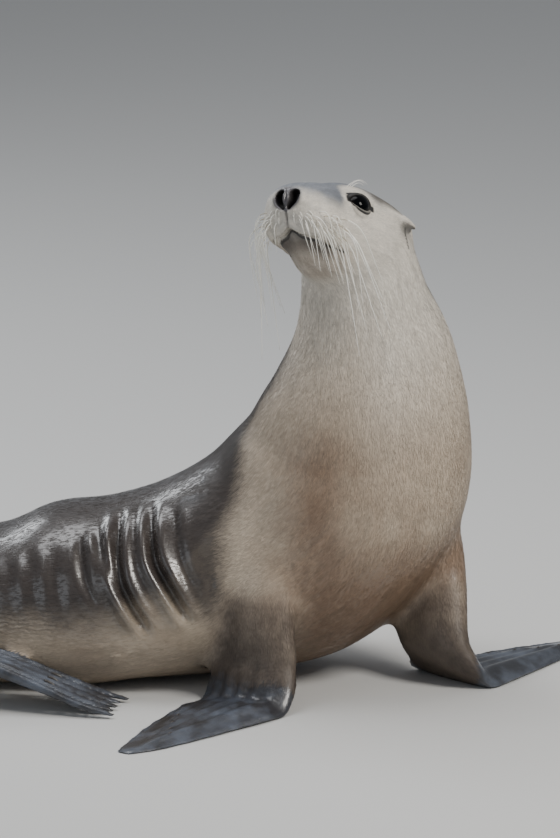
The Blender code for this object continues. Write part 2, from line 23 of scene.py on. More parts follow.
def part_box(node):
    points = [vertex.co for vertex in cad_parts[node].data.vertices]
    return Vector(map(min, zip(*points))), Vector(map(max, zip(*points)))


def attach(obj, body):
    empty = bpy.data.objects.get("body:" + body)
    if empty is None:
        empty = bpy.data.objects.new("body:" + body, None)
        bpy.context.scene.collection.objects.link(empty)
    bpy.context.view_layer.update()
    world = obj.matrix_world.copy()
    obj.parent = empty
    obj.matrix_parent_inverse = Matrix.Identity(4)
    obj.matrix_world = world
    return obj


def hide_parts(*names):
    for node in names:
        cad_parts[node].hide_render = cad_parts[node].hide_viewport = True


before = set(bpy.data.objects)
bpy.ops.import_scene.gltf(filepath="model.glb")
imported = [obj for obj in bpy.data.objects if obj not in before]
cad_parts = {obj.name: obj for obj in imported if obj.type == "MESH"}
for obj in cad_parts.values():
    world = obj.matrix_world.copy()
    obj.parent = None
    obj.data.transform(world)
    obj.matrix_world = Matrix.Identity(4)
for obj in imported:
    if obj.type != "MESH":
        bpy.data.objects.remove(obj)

LOG = logging.getLogger("sea_lion")

Array = np.ndarray
Colour = tuple[float, float, float]
Place = tuple[float, float, float]
Faces = list[tuple[int, ...]]
Shell = tuple[Array, Faces]

UP, DOWN = np.array([0.0, 0.0, 1.0]), np.array([0.0, 0.0, -1.0])
# A way that no whisker or nail runs, for turning their rings by.
ASKEW = np.array([0.13, 0.21, 0.97])
# How far the eye's middle is forward, outward and up of the tip of the nose.
EYE_FORWARD, EYE_OUT, EYE_UP = -0.1055, 0.0425, 0.0125
# How far the hide stays clear of the floor, and the toes and hair.
HIDE_CLEAR, HAIR_CLEAR = 0.0004, 0.0006


class Side(Enum):
    """The animal's own right and left."""

    RIGHT = -1.0
    LEFT = 1.0


class Region(Enum):
    """The parts of the body whose hair lies differently."""

    TRUNK = 0
    HEAD = 1
    RIGHT_ARM = 2
    LEFT_ARM = 3
    RIGHT_LEG = 4
    LEFT_LEG = 5
    EAR = 6


class Mark(Enum):
    """The markings, and the painted light and shade carried in them, each kept on the hide and on the coat
    as a share from 0 to 1.
    """

    BACK = "back"
    BRIGHT = "bright"
    SILVER = "silver"
    TAN = "tan"
    BARE = "bare"
    DARK = "dark"
    NOSE = "nose"
    WET = "wet"
    SCUFF = "scuff"
    RIPPLE = "ripple"


REGION_OF_NODE = {
    "head": Region.HEAD,
    "lower_jaw": Region.HEAD,
    "ear_right": Region.EAR,
    "ear_left": Region.EAR,
    "fore_limb_right": Region.RIGHT_ARM,
    "fore_flipper_right": Region.RIGHT_ARM,
    "fore_limb_left": Region.LEFT_ARM,
    "fore_flipper_left": Region.LEFT_ARM,
    "hind_limb_right": Region.RIGHT_LEG,
    "hind_flipper_right": Region.RIGHT_LEG,
    "hind_limb_left": Region.LEFT_LEG,
    "hind_flipper_left": Region.LEFT_LEG,
    "neck": Region.TRUNK,
    "chest": Region.TRUNK,
    "trunk": Region.TRUNK,
    "hips": Region.TRUNK,
    "tail": Region.TRUNK,
}
ARMS = (Region.RIGHT_ARM, Region.LEFT_ARM)
LEGS = (Region.RIGHT_LEG, Region.LEFT_LEG)
FLESH = tuple(REGION_OF_NODE)
EYES = ("eye_right", "eye_left")
FORE_FLIPPERS = ("fore_flipper_right", "fore_flipper_left")
HIND_FLIPPERS = ("hind_flipper_right", "hind_flipper_left")
FORE, HIND = 1, 2


def smooth(values: Array | float, low: float, high: float) -> Array:
    """Gives 0 below low, 1 above high, and a smooth rise between; high may be the lower."""
    t = np.clip((np.asarray(values, float) - low) / (high - low), 0.0, 1.0)
    return t * t * (3.0 - 2.0 * t)


def hump(values: Array | float, width: float) -> Array:
    """Gives a round hump of height 1 about zero, of this spread."""
    return np.exp(-np.square(np.asarray(values, float) / width))


def unit(vectors: Array) -> Array:
    """Gives each row the length 1."""
    return vectors / np.maximum(np.linalg.norm(vectors, axis=-1, keepdims=True), 1e-9)


def along(chain: Array, points: Array) -> tuple[Array, Array, Array]:
    """Finds the nearest place on a chain of points.

    Args:
        chain: The points of the chain, one per row.
        points: The points to place, one per row.

    Returns:
        The distance of each point from the chain, how far along the chain its
        nearest place is as a fractional index, and that nearest place.
    """
    best = np.full(len(points), np.inf)
    where = np.zeros(len(points))
    spot = np.zeros((len(points), 3))
    for i in range(len(chain) - 1):
        leg = chain[i + 1] - chain[i]
        t = np.clip((points - chain[i]) @ leg / max(leg @ leg, 1e-12), 0.0, 1.0)
        at = chain[i] + t[:, None] * leg
        gap = np.linalg.norm(points - at, axis=1)
        near = gap < best
        best[near] = gap[near]
        where[near] = i + t[near]
        spot[near] = at[near]
    return best, where, spot


def curve_through(points: Array, per_leg: int) -> Array:
    """Runs a smooth curve through points.

    Args:
        points: The places it passes through, one per row.
        per_leg: How many points to give for each leg between two places.

    Returns:
        The points of the curve, ends included.
    """
    padded = np.vstack([2 * points[0] - points[1], points, 2 * points[-1] - points[-2]])
    made = []
    for i in range(1, len(padded) - 2):
        a, b, c, d = padded[i - 1 : i + 3]
        square, cube = 2 * a - 5 * b + 4 * c - d, 3 * b - a - 3 * c + d
        for t in np.arange(per_leg) / per_leg:
            made.append(0.5 * (2 * b + (c - a) * t + square * t**2 + cube * t**3))
    made.append(points[-1])
    return np.array(made)


def read_at(values: Array, where: Array) -> Array:
    """Reads values kept along a line at fractional places on it.

    Args:
        values: The values, one row for each point of the line.
        where: The places, as fractional indices.

    Returns:
        The value at each place.
    """
    low = np.minimum(where.astype(int), len(values) - 2)
    share = where - low
    if values.ndim > 1:
        share = share[:, None]
    return values[low] * (1 - share) + values[low + 1] * share


def length_along(line: Array) -> Array:
    """Gives how far along a line each of its points is."""
    return np.concatenate([[0.0], np.cumsum(np.linalg.norm(np.diff(line, axis=0), axis=1))])


def beside(
    across: Array, over: Array, start: Sequence[float], end: Sequence[float]
) -> tuple[Array, Array, Array]:
    """Measures points from a straight run between two places in a plane.

    Args:
        across: How far across the plane each point is.
        over: How far up the plane each point is.
        start: Where the run starts, across and up.
        end: Where it ends, across and up.

    Returns:
        How far along the run each point's nearest place is, as a share of it, and
        how far across and how far up from that place the point is.
    """
    run = np.subtract(end, start)
    share = np.clip(((across - start[0]) * run[0] + (over - start[1]) * run[1]) / (run @ run), 0, 1)
    return share, across - start[0] - share * run[0], over - start[1] - share * run[1]


def blob(coords: Sequence[Array], middle: Sequence[float], spread: Sequence[float]) -> Array:
    """Gives a round rise of height 1 about a middle, with a spread of its own each way."""
    return math.prod(hump(values - at, width) for values, at, width in zip(coords, middle, spread))


@dataclass(frozen=True)
class HeadFrame:
    """The head's own axes, from the tip of the nose."""

    tip: Array
    forward: Array
    left: Array
    up: Array

    @classmethod
    def from_eyes(cls) -> "HeadFrame":
        """Places the head's axes by the two eye solids.

        Returns:
            The head's axes.
        """
        forward = np.array([-0.528, -0.727, 0.438])
        left = np.array([0.8445, -0.504, 0.182])
        up = np.array([0.088, 0.4665, 0.880])
        corners = [np.array(corner) for name in ("eye_left", "eye_right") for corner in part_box(name)]
        between = np.mean(corners, axis=0)
        return cls(between - EYE_FORWARD * forward - EYE_UP * up, forward, left, up)

    def local(self, points: Array) -> tuple[Array, Array, Array]:
        """Gives how far forward, left and up of the nose each point is."""
        away = points - self.tip
        return away @ self.forward, away @ self.left, away @ self.up

    def world(self, forward: float, left: float, up: float) -> Array:
        """Gives the place this far forward, left and up of the nose."""
        return self.tip + forward * self.forward + left * self.left + up * self.up


@dataclass(frozen=True)
class Fold:
    """A crease in the hide with a raised lip on each side."""

    line: tuple[Place, ...]
    depth: float
    width: float
    lip: float

    def press(self, points: Array, moved: Array) -> None:
        """Adds this fold's rise and fall along the normal.

        Args:
            points: Where the hide's points are.
            moved: How far each moves outwards, changed in place.
        """
        chain = curve_through(np.array(self.line), 5)
        reach = 4.0 * self.width + 0.02
        low, high = chain.min(0) - reach, chain.max(0) + reach
        near = np.where(((points > low) & (points < high)).all(1))[0]
        if not len(near):
            return
        gap, where, _ = along(chain, points[near])
        share = where / (len(chain) - 1)
        ends = smooth(share, 0.0, 0.22) * smooth(share, 1.0, 0.78)
        lip = hump(gap - 2.2 * self.width, 1.25 * self.width)
        moved[near] += ends * (self.lip * lip - self.depth * hump(gap, self.width))


@dataclass
class Net:
    """Which points of a mesh are neighbours."""

    starts: Array
    neighbours: Array
    degree: Array

    @classmethod
    def of(cls, mesh: Mesh) -> "Net":
        """Reads the neighbours from a mesh's edges.

        Args:
            mesh: The mesh.

        Returns:
            Its net.
        """
        edges = np.empty(len(mesh.edges) * 2, np.int64)
        mesh.edges.foreach_get("vertices", edges)
        edges = edges.reshape(-1, 2)
        both = np.concatenate([edges, edges[:, ::-1]])
        both = both[np.argsort(both[:, 0], kind="stable")]
        degree = np.bincount(both[:, 0], minlength=len(mesh.vertices))
        starts = np.concatenate([[0], np.cumsum(degree)[:-1]])
        return cls(starts, both[:, 1], degree.astype(float))

    def mean(self, values: Array) -> Array:
        """Gives the mean of each point's neighbours.

        Args:
            values: One row for each point.

        Returns:
            The means, in the same shape.
        """
        total = np.add.reduceat(values[self.neighbours], self.starts, axis=0)
        degree = self.degree if values.ndim == 1 else self.degree[:, None]
        return total / degree

    def relax(self, values: Array, rounds: int, weight: Array | float = 1.0) -> Array:
        """Evens values out over the mesh.

        Args:
            values: One row for each point.
            rounds: How many times to move each towards its neighbours' mean.
            weight: How far to move each, as a share of a full round.

        Returns:
            The evened values.
        """
        pull = 0.5 * np.asarray(weight, float)
        if values.ndim > 1 and pull.ndim:
            pull = pull[:, None]
        for _ in range(rounds):
            values = values + pull * (self.mean(values) - values)
        return values


def read_rows(items: bpy_prop_collection, name: str, kind: type = np.float32) -> Array:
    """Reads three numbers from each of a mesh's items, one item per row.

    Args:
        items: The mesh's points, normals or triangles.
        name: What to read of each.
        kind: The kind of number it is kept as.

    Returns:
        The numbers.
    """
    found = np.empty(len(items) * 3, kind)
    items.foreach_get(name, found)
    return found.reshape(-1, 3)


def points_of(mesh: Mesh) -> Array:
    """Reads a mesh's points, one per row."""
    return read_rows(mesh.vertices, "co").astype(float)


def put_points(mesh: Mesh, points: Array) -> None:
    """Moves a mesh's points to these places."""
    mesh.vertices.foreach_set("co", points.astype(np.float32).ravel())
    mesh.update()


def normals_of(mesh: Mesh) -> Array:
    """Reads a mesh's normals at its points, one per row."""
    return read_rows(mesh.vertex_normals, "vector").astype(float)


def triangles_of(mesh: Mesh) -> Array:
    """Reads a mesh as triangles of point numbers."""
    mesh.calc_loop_triangles()
    return read_rows(mesh.loop_triangles, "vertices", np.int32)


def keep_share(mesh: Mesh, name: str, values: Array) -> None:
    """Keeps one number, or one vector, for each point of a mesh under a name.

    Args:
        mesh: The mesh.
        name: The name.
        values: The number or vector for each point.
    """
    kind, key = ("FLOAT", "value") if values.ndim == 1 else ("FLOAT_VECTOR", "vector")
    made = mesh.attributes.new(name, kind, "POINT")
    made.data.foreach_set(key, values.astype(np.float32).ravel())


def new_mesh(name: str, points: Array, faces: Faces) -> Mesh:
    """Makes a mesh of points and faces.

    Args:
        name: The mesh's name.
        points: Its points, one per row.
        faces: Its faces, as point numbers.

    Returns:
        The mesh.
    """
    mesh = bpy.data.meshes.new(name)
    mesh.from_pydata(np.asarray(points).tolist(), [], faces)
    return mesh


def new_object(name: str, data: ID) -> Object:
    """Makes an object and puts it in the scene.

    Args:
        name: The object's name.
        data: The mesh, lamp or camera that it shows.

    Returns:
        The object.
    """
    made = bpy.data.objects.new(name, data)
    bpy.context.scene.collection.objects.link(made)
    return made


def new_piece(name: str, mesh: Mesh, material: Material) -> Object:
    """Makes a mesh a smooth piece of the model that rides on its body.

    Args:
        name: The piece's name.
        mesh: Its mesh, in place.
        material: What it is finished in.

    Returns:
        The new object.
    """
    mesh.shade_smooth()
    mesh.materials.clear()
    mesh.materials.append(material)
    made = new_object(name, mesh)
    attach(made, "root")
    return made


@dataclass(frozen=True)
class Station:
    """A place on the animal's long axis, and which way its back faces there."""

    offset: Place
    back: Place


@dataclass
class LongAxis:
    """The line from the nose through the neck and trunk to the tail, and the way round it."""

    head: HeadFrame
    skull: tuple[Place, ...] = ((-0.02, 0.0, -0.012), (-0.08, 0.0, -0.012), (-0.14, 0.0, -0.014))
    stations: tuple[Station, ...] = (
        Station((0.095, 0.131, -0.108), (0.0, 0.9, 0.44)),
        Station((0.106, 0.139, -0.171), (0.0, 1.0, 0.1)),
        Station((0.114, 0.146, -0.246), (-0.4, 0.9, 0.0)),
        Station((0.105, 0.151, -0.334), (-0.45, 0.88, 0.1)),
        Station((0.077, 0.163, -0.420), (-0.48, 0.8, 0.35)),
        Station((0.003, 0.171, -0.502), (-0.5, 0.5, 0.7)),
        Station((-0.107, 0.171, -0.556), (-0.15, 0.2, 0.97)),
        Station((-0.217, 0.169, -0.584), (0.0, 0.0, 1.0)),
        Station((-0.385, 0.183, -0.598), (0.0, 0.0, 1.0)),
        Station((-0.517, 0.201, -0.602), (0.0, 0.0, 1.0)),
        Station((-0.627, 0.217, -0.612), (0.0, 0.0, 1.0)),
        Station((-0.707, 0.233, -0.616), (0.0, 0.0, 1.0)),
        Station((-0.782, 0.247, -0.636), (0.0, 0.0, 1.0)),
    )
    per_leg: int = 6

    def __post_init__(self) -> None:
        """Runs the curve and carries a pair of cross axes along it without twist."""
        head = self.head
        skull = [head.world(*place) for place in self.skull]
        line = np.array(skull + [head.tip + np.array(s.offset) for s in self.stations])
        self.line = curve_through(line, self.per_leg)
        backs = [head.up, head.up, 0.4 * head.up - 0.6 * head.forward] + [s.back for s in self.stations]
        self.back = unit(curve_through(unit(np.array(backs)), self.per_leg))
        self.length = length_along(self.line)
        self.onward = unit(np.gradient(self.line, axis=0))
        across = [unit(np.cross(self.onward[0], head.up))]
        for tangent in self.onward[1:]:
            across.append(unit(across[-1] - (across[-1] @ tangent) * tangent))
        self.across = np.array(across)
        self.over = np.cross(self.across, self.onward)


@dataclass
class Limb:
    """One limb's run from the trunk to its tip, with its wrist or ankle at one place of it."""

    region: Region
    chain: tuple[Place, ...]
    wrist: int = 4
    per_leg: int = 4

    def __post_init__(self) -> None:
        """Runs a curve through the chain and measures it."""
        self.line = curve_through(np.array(self.chain), self.per_leg)
        self.length = length_along(self.line)
        self.wrist_at = self.length[self.wrist * self.per_leg]

    def lie(self, points: Array) -> tuple[Array, Array, Array]:
        """Gives how far down the limb each point is, its offset, and which way is down.

        Args:
            points: The points, one per row.

        Returns:
            The distance down the limb, the offset from its line, and the way down there.
        """
        _, where, spot = along(self.line, points)
        low = np.minimum(where.astype(int), len(self.line) - 2)
        return read_at(self.length, where), points - spot, unit(self.line[low + 1] - self.line[low])


LIMBS = (
    Limb(
        Region.RIGHT_ARM,
        (
            (0.16, -0.01, 0.26), (0.145, -0.072, 0.19), (0.142, -0.102, 0.14),
            (0.139, -0.116, 0.093), (0.138, -0.13, 0.05), (0.115, -0.17, 0.02),
            (0.06, -0.245, 0.012), (-0.035, -0.38, 0.006),
        ),
    ),
    Limb(
        Region.LEFT_ARM,
        (
            (0.32, 0.066, 0.26), (0.363, 0.048, 0.19), (0.377, 0.022, 0.14),
            (0.379, -0.006, 0.093), (0.382, -0.025, 0.05), (0.405, -0.02, 0.02),
            (0.475, 0.055, 0.012), (0.595, 0.18, 0.006),
        ),
    ),
    Limb(
        Region.RIGHT_LEG,
        (
            (-0.359, 0.036, 0.077), (-0.411, -0.012, 0.071), (-0.401, -0.072, 0.065),
            (-0.349, -0.112, 0.063), (-0.279, -0.128, 0.067), (-0.209, -0.141, 0.059),
            (-0.141, -0.155, 0.037), (-0.035, -0.175, 0.004),
        ),
    ),
    Limb(
        Region.LEFT_LEG,
        (
            (-0.354, 0.142, 0.077), (-0.404, 0.198, 0.071), (-0.389, 0.26, 0.065),
            (-0.334, 0.298, 0.063), (-0.264, 0.314, 0.067), (-0.194, 0.324, 0.059),
            (-0.126, 0.334, 0.037), (-0.02, 0.35, 0.004),
        ),
    ),
)


@dataclass(frozen=True)
class Flipper:
    """A fore flipper's plan: where its wrist is, which way it points, and its fingers."""

    node: str
    wrist: Place
    reach: Place
    lead: Place
    # For each finger, how far out and how far towards the leading edge it starts and ends.
    fingers: tuple[tuple[float, float, float, float], ...] = (
        (0.015, 0.052, 0.292, 0.012),
        (0.010, 0.024, 0.262, -0.001),
        (0.006, -0.002, 0.224, -0.016),
        (0.004, -0.028, 0.178, -0.030),
        (0.002, -0.052, 0.126, -0.046),
    )

    def plan(self, points: Array) -> tuple[Array, Array]:
        """Gives how far out and how far towards the leading edge each point is."""
        away = points - np.array(self.wrist)
        return away @ np.array(self.reach), away @ np.array(self.lead)

    def ridges(self, points: Array) -> Array:
        """Gives how high each point stands for the fingers under the skin.

        Args:
            points: The points, one per row.

        Returns:
            The heights, about 1 on a finger and 0 between.
        """
        out, lead = self.plan(points)
        high = np.zeros(len(points))
        for finger, ends in enumerate(self.fingers):
            share, off_out, off_lead = beside(out, lead, ends[:2], ends[2:])
            width = (0.0085 - 0.0045 * share) * (1.35 if finger == 0 else 1.0)
            height = hump(np.hypot(off_out, off_lead), width)
            height = height * smooth(share, 0.0, 0.12) * smooth(share, 1.0, 0.8)
            high = np.maximum(high, height * (1.9 if finger == 0 else 1.0))
        return high


@dataclass(frozen=True)
class Toes:
    """A hind flipper: five long toes with a web between them, as solid shapes.

    Each station is a place on the middle toe, and the flipper's half width and half
    thickness there. Across is each toe's share of that half width, and beyond is how
    much further than the last station it runs.
    """

    stations: tuple[tuple[Place, float, float], ...]
    across: tuple[float, ...] = (-0.80, -0.41, 0.0, 0.41, 0.80)
    beyond: tuple[float, ...] = (0.004, -0.002, -0.004, -0.001, 0.006)
    web_share: float = 0.68
    per_leg: int = 6

    def rail(self, share: float, beyond: float) -> tuple[Array, Array, Array, Array]:
        """Runs one toe from the instep to its tip.

        Args:
            share: How far it lies from the middle, as a share of the half width.
            beyond: How much longer it is than the flipper's own length.

        Returns:
            Its centres, half widths, half thicknesses and its way across.
        """
        centres, width, deep = (np.array(column) for column in zip(*self.stations))
        ahead = unit(centres[-1] - centres[0])
        across = unit(np.cross(ahead, UP))
        line = centres + across * (width * share)[:, None]
        line[-1] = line[-1] + beyond * ahead
        line[:, 2] = np.maximum(line[:, 2], deep + HAIR_CLEAR)
        rings = curve_through(line, self.per_leg)
        width, deep = curve_through(np.stack([width, deep], axis=1), self.per_leg).T
        width = width * (0.185 - 0.045 * (abs(share) > 0.7))
        round_end = np.sqrt(np.clip(1 - np.linspace(-6, 1, len(rings)).clip(0) ** 2, 0.06, 1))
        return rings, width * round_end, deep * round_end, across

    def shells(self) -> list[Shell]:
        """Makes the toes and the web between them as closed shells.

        Returns:
            The shells.
        """
        made = [closed_loft(*self.rail(share, beyond)) for share, beyond in zip(self.across, self.beyond)]
        centres, _, deep, across = self.rail(0.0, 0.0)
        last = int(self.web_share * len(centres))
        width = curve_through(np.array([[half] for _, half, _ in self.stations]), self.per_leg)[:, 0]
        made.append(closed_loft(centres[:last], 0.80 * width[:last], 0.72 * deep[:last], across))
        return made


def closed_loft(centres: Array, wide: Array, deep: Array, across: Array, around: int = 16) -> Shell:
    """Makes a closed shell of oval rings.

    Args:
        centres: The middle of each ring.
        wide: Each ring's half width.
        deep: Each ring's half depth.
        across: The way that every ring is wide.
        around: How many points a ring has.

    Returns:
        The points and the faces.
    """
    turn = np.linspace(0, 2 * np.pi, around, endpoint=False)
    ahead = unit(np.gradient(centres, axis=0))
    over = unit(np.cross(across, ahead))
    rings = (
        centres[:, None]
        + (wide[:, None] * np.cos(turn))[..., None] * across
        + (deep[:, None] * np.sin(turn))[..., None] * over[:, None]
    )
    points = rings.reshape(-1, 3)
    faces: Faces = []
    for i in range(len(centres) - 1):
        for j in range(around):
            k = (j + 1) % around
            faces.append((i * around + j, (i + 1) * around + j, (i + 1) * around + k, i * around + k))
    faces.append(tuple(range(around)))
    faces.append(tuple(reversed(range(len(points) - around, len(points)))))
    return points, faces


def join_shells(shells: Sequence[Shell]) -> Shell:
    """Joins shells as one list of points and one of faces.

    Args:
        shells: Points and faces of each shell.

    Returns:
        All the points and all the faces.
    """
    faces: Faces = []
    count = 0
    for corners, sides in shells:
        faces += [tuple(count + index for index in side) for side in sides]
        count += len(corners)
    return np.vstack([corners for corners, _ in shells]), faces


HIND_TOES = {
    "hind_flipper_right": Toes(
        (
            ((-0.376, -0.090, 0.064), 0.024, 0.0180),
            ((-0.330, -0.118, 0.064), 0.034, 0.0170),
            ((-0.279, -0.128, 0.067), 0.038, 0.0135),
            ((-0.209, -0.141, 0.058), 0.042, 0.0088),
            ((-0.141, -0.155, 0.036), 0.046, 0.0060),
            ((-0.084, -0.166, 0.015), 0.050, 0.0046),
            ((-0.042, -0.174, 0.004), 0.050, 0.0034),
        )
    ),
    "hind_flipper_left": Toes(
        (
            ((-0.362, 0.280, 0.064), 0.024, 0.0180),
            ((-0.315, 0.303, 0.064), 0.034, 0.0170),
            ((-0.264, 0.314, 0.067), 0.038, 0.0135),
            ((-0.194, 0.324, 0.059), 0.042, 0.0088),
            ((-0.126, 0.334, 0.037), 0.046, 0.0060),
            ((-0.069, 0.342, 0.015), 0.050, 0.0046),
            ((-0.027, 0.348, 0.004), 0.050, 0.0034),
        )
    ),
}

FLIPPER_PLANS = (
    Flipper("fore_flipper_right", (0.1392, -0.1359, 0.0), (-0.5878, -0.8090, 0.0), (0.8090, -0.5878, 0.0)),
    Flipper("fore_flipper_left", (0.3862, -0.0399, 0.0), (0.6820, 0.7314, 0.0), (0.7314, -0.6820, 0.0)),
)

SIDE_FOLDS = (
    Fold(
        (
            (-0.043, -0.004, 0.2485), (-0.0476, -0.0527, 0.2276), (-0.0499, -0.0864, 0.1974),
            (-0.0443, -0.1076, 0.164), (-0.0307, -0.1174, 0.136), (-0.0173, -0.1218, 0.1121),
            (-0.004, -0.122, 0.083),
        ),
        0.0115, 0.0062, 0.0062,
    ),
    Fold(
        (
            (-0.0019, -0.0182, 0.2595), (-0.0041, -0.074, 0.2276), (0.0016, -0.1041, 0.191),
            (0.0178, -0.1176, 0.1611), (0.0366, -0.1257, 0.1299), (0.055, -0.1266, 0.1),
        ),
        0.0115, 0.0062, 0.0062,
    ),
    Fold(
        (
            (-0.0776, -0.0334, 0.2264), (-0.068, -0.080, 0.197), (-0.0551, -0.1056, 0.1635),
            (-0.036, -0.118, 0.130), (-0.0173, -0.1233, 0.0985),
        ),
        0.0036, 0.0056, 0.0034,
    ),
    Fold(
        (
            (-0.0991, -0.0419, 0.2156), (-0.096, -0.082, 0.184), (-0.0875, -0.1044, 0.152),
            (-0.075, -0.112, 0.125),
        ),
        0.0030, 0.0056, 0.0026,
    ),
    Fold(
        (
            (0.030, -0.050, 0.256), (0.030, -0.090, 0.226), (0.040, -0.114, 0.186),
            (0.056, -0.126, 0.150),
        ),
        0.0030, 0.0065, 0.0016,
    ),
)
FAR_SIDE_FOLDS = tuple(
    Fold(
        tuple((x + 0.012, 0.082 - y, z) for x, y, z in fold.line),
        0.8 * fold.depth,
        fold.width,
        0.8 * fold.lip,
    )
    for fold in SIDE_FOLDS[:4]
)
ARMPIT_FOLDS = (
    Fold(((0.388, -0.045, 0.176), (0.402, -0.040, 0.188), (0.420, -0.022, 0.204)), 0.0034, 0.0034, 0.0016),
    Fold(((0.384, -0.050, 0.152), (0.400, -0.044, 0.166), (0.426, -0.022, 0.186)), 0.0038, 0.0034, 0.0018),
    Fold(((0.386, -0.048, 0.128), (0.404, -0.040, 0.142), (0.430, -0.018, 0.160)), 0.0030, 0.0034, 0.0014),
    Fold(((0.192, -0.128, 0.150), (0.202, -0.122, 0.176), (0.204, -0.128, 0.204)), 0.0038, 0.0050, 0.0016),
    Fold(((0.088, -0.110, 0.120), (0.078, -0.116, 0.146), (0.080, -0.122, 0.176)), 0.0034, 0.0050, 0.0016),
)


# How far round the lip from under the nose, and how high there, the mouth's line runs.
LIP_LINE = (
    (0.0, -0.0375),
    (0.0031, -0.0388),
    (0.0091, -0.0426),
    (0.0153, -0.0452),
    (0.0242, -0.0465),
    (0.0395, -0.0481),
    (0.0543, -0.0500),
    (0.0751, -0.0506),
    (0.0897, -0.0502),
    (0.1091, -0.0529),
    (0.125, -0.056),
)

# How far back from the nose's tip, and how high there, the silver of the brow begins.
SILVER_EDGE = ((0.0, 0.012), (0.017, 0.006), (0.029, -0.001), (0.058, 0.0), (0.090, 0.012), (0.15, 0.020))

# Where the whisker pad is rough (forward, outward, up of the nose), and how that spreads.
WHISKER_PAD = ((-0.026, 0.032, -0.025), (0.020, 0.015, 0.012))

# The height of a rise on the face, where it is and how it spreads: the bone over the
# eye, the hollow before it, the whisker pad and the cheek.
FACE_RISES = (
    (0.0026, (-0.106, 0.046, 0.037), (0.020, 0.012, 0.009)),
    (-0.0022, (-0.062, 0.050, 0.004), (0.018, 0.020, 0.014)),
    (0.0060, (-0.030, 0.034, -0.028), (0.024, 0.018, 0.013)),
    (0.0020, (-0.115, 0.055, -0.030), (0.030, 0.020, 0.020)),
)


def keep_largest(mesh: Mesh) -> None:
    """Removes all but the largest connected shell of a mesh.

    Args:
        mesh: The mesh, changed in place.
    """
    shell = bmesh.new()
    shell.from_mesh(mesh)
    seen: set[int] = set()
    groups: list[list[bmesh.types.BMVert]] = []
    for start in shell.verts:
        if start.index in seen:
            continue
        seen.add(start.index)
        group, edge = [start], [start]
        while edge:
            fresh = []
            for vert in edge:
                for link in vert.link_edges:
                    other = link.other_vert(vert)
                    if other.index not in seen:
                        seen.add(other.index)
                        fresh.append(other)
            group += fresh
            edge = fresh
        groups.append(group)
    groups.sort(key=len)
    LOG.info("shells of the joined flesh: %s", [len(group) for group in groups])
    for group in groups[:-1]:
        bmesh.ops.delete(shell, geom=group, context="VERTS")
    shell.to_mesh(mesh)
    shell.free()


@dataclass(frozen=True)
class Lids:
    """The lids of one eye, measured from the middle of its eyeball."""

    head: HeadFrame
    side: Side
    radius: float = 0.0203
    thickness: float = 0.0013
    half_length: float = 0.0163
    upper: float = 0.0104
    lower: float = 0.0112
    tilt: float = 0.22
    blend: float = 0.0022
    reach: float = 0.036

    def axes(self) -> tuple[Array, Array, Array, Array]:
        """Gives the eyeball's middle and the ways out, forward and up of its opening.

        Returns:
            The middle and the three ways.
        """
        side, head = self.side.value, self.head
        middle = head.world(EYE_FORWARD, EYE_OUT * side, EYE_UP)
        out = unit(0.875 * side * head.left + 0.309 * head.up + 0.371 * head.forward)
        forward = unit(head.forward - (head.forward @ out) * out)
        up = np.cross(forward, out) * side
        return middle, out, forward, up

    def read(self, points: Array) -> tuple[Array, Array, Array, Array, Array]:
        """Places points round the opening.

        Args:
            points: The places, one per row.

        Returns:
            How far each is from the eyeball's middle, its way from there, how far
            it is outside the edge of the opening, how far forward it is, and how
            far above the line between the corners.
        """
        middle, out, forward, up = self.axes()
        away = points - middle
        distance = np.linalg.norm(away, axis=1)
        way = away / np.maximum(distance, 1e-6)[:, None]
        ahead, above = self.radius * (way @ forward), self.radius * (way @ up)
        above = above - self.tilt * ahead
        share = np.clip(np.abs(ahead) / self.half_length, 0.0, 1.0)
        arch = (1.0 - share**2.1) ** 0.72
        over = np.maximum(above - self.upper * arch, -above - self.lower * arch)
        past = np.abs(ahead) - self.half_length
        outside = np.where((over > 0) & (past > 0), np.hypot(over, past), np.maximum(over, past))
        outside = np.where(way @ out > 0.05, outside, 1.0)
        return distance, way, outside, ahead, above

    def close(self, points: Array) -> Array:
        """Gives the points with the lids drawn over the eyeball and the opening cut in.

        Args:
            points: The hide's points, one per row.

        Returns:
            The moved points.
        """
        distance, way, outside, _, above = self.read(points)
        near = distance < self.reach
        rim = 0.0007 * hump(outside - 0.0012, 0.0012)
        crease = -0.0009 * hump(outside - 0.0052, 0.0013) * smooth(above, -0.002, 0.004)
        lid = self.radius + self.thickness + rim + crease - 0.35 * np.maximum(outside - 0.006, 0.0)
        mixed = np.maximum(distance, lid) + self.blend * hump(distance - lid, self.blend) * 0.35
        inside = smooth(outside, 0.0006, -0.0005)
        target = mixed * (1 - inside) + (self.radius - 0.0028) * inside
        fade = smooth(distance, self.reach, 0.028)
        moved = distance + (target - distance) * fade
        return np.where(near[:, None], points + way * (moved - distance)[:, None], points)


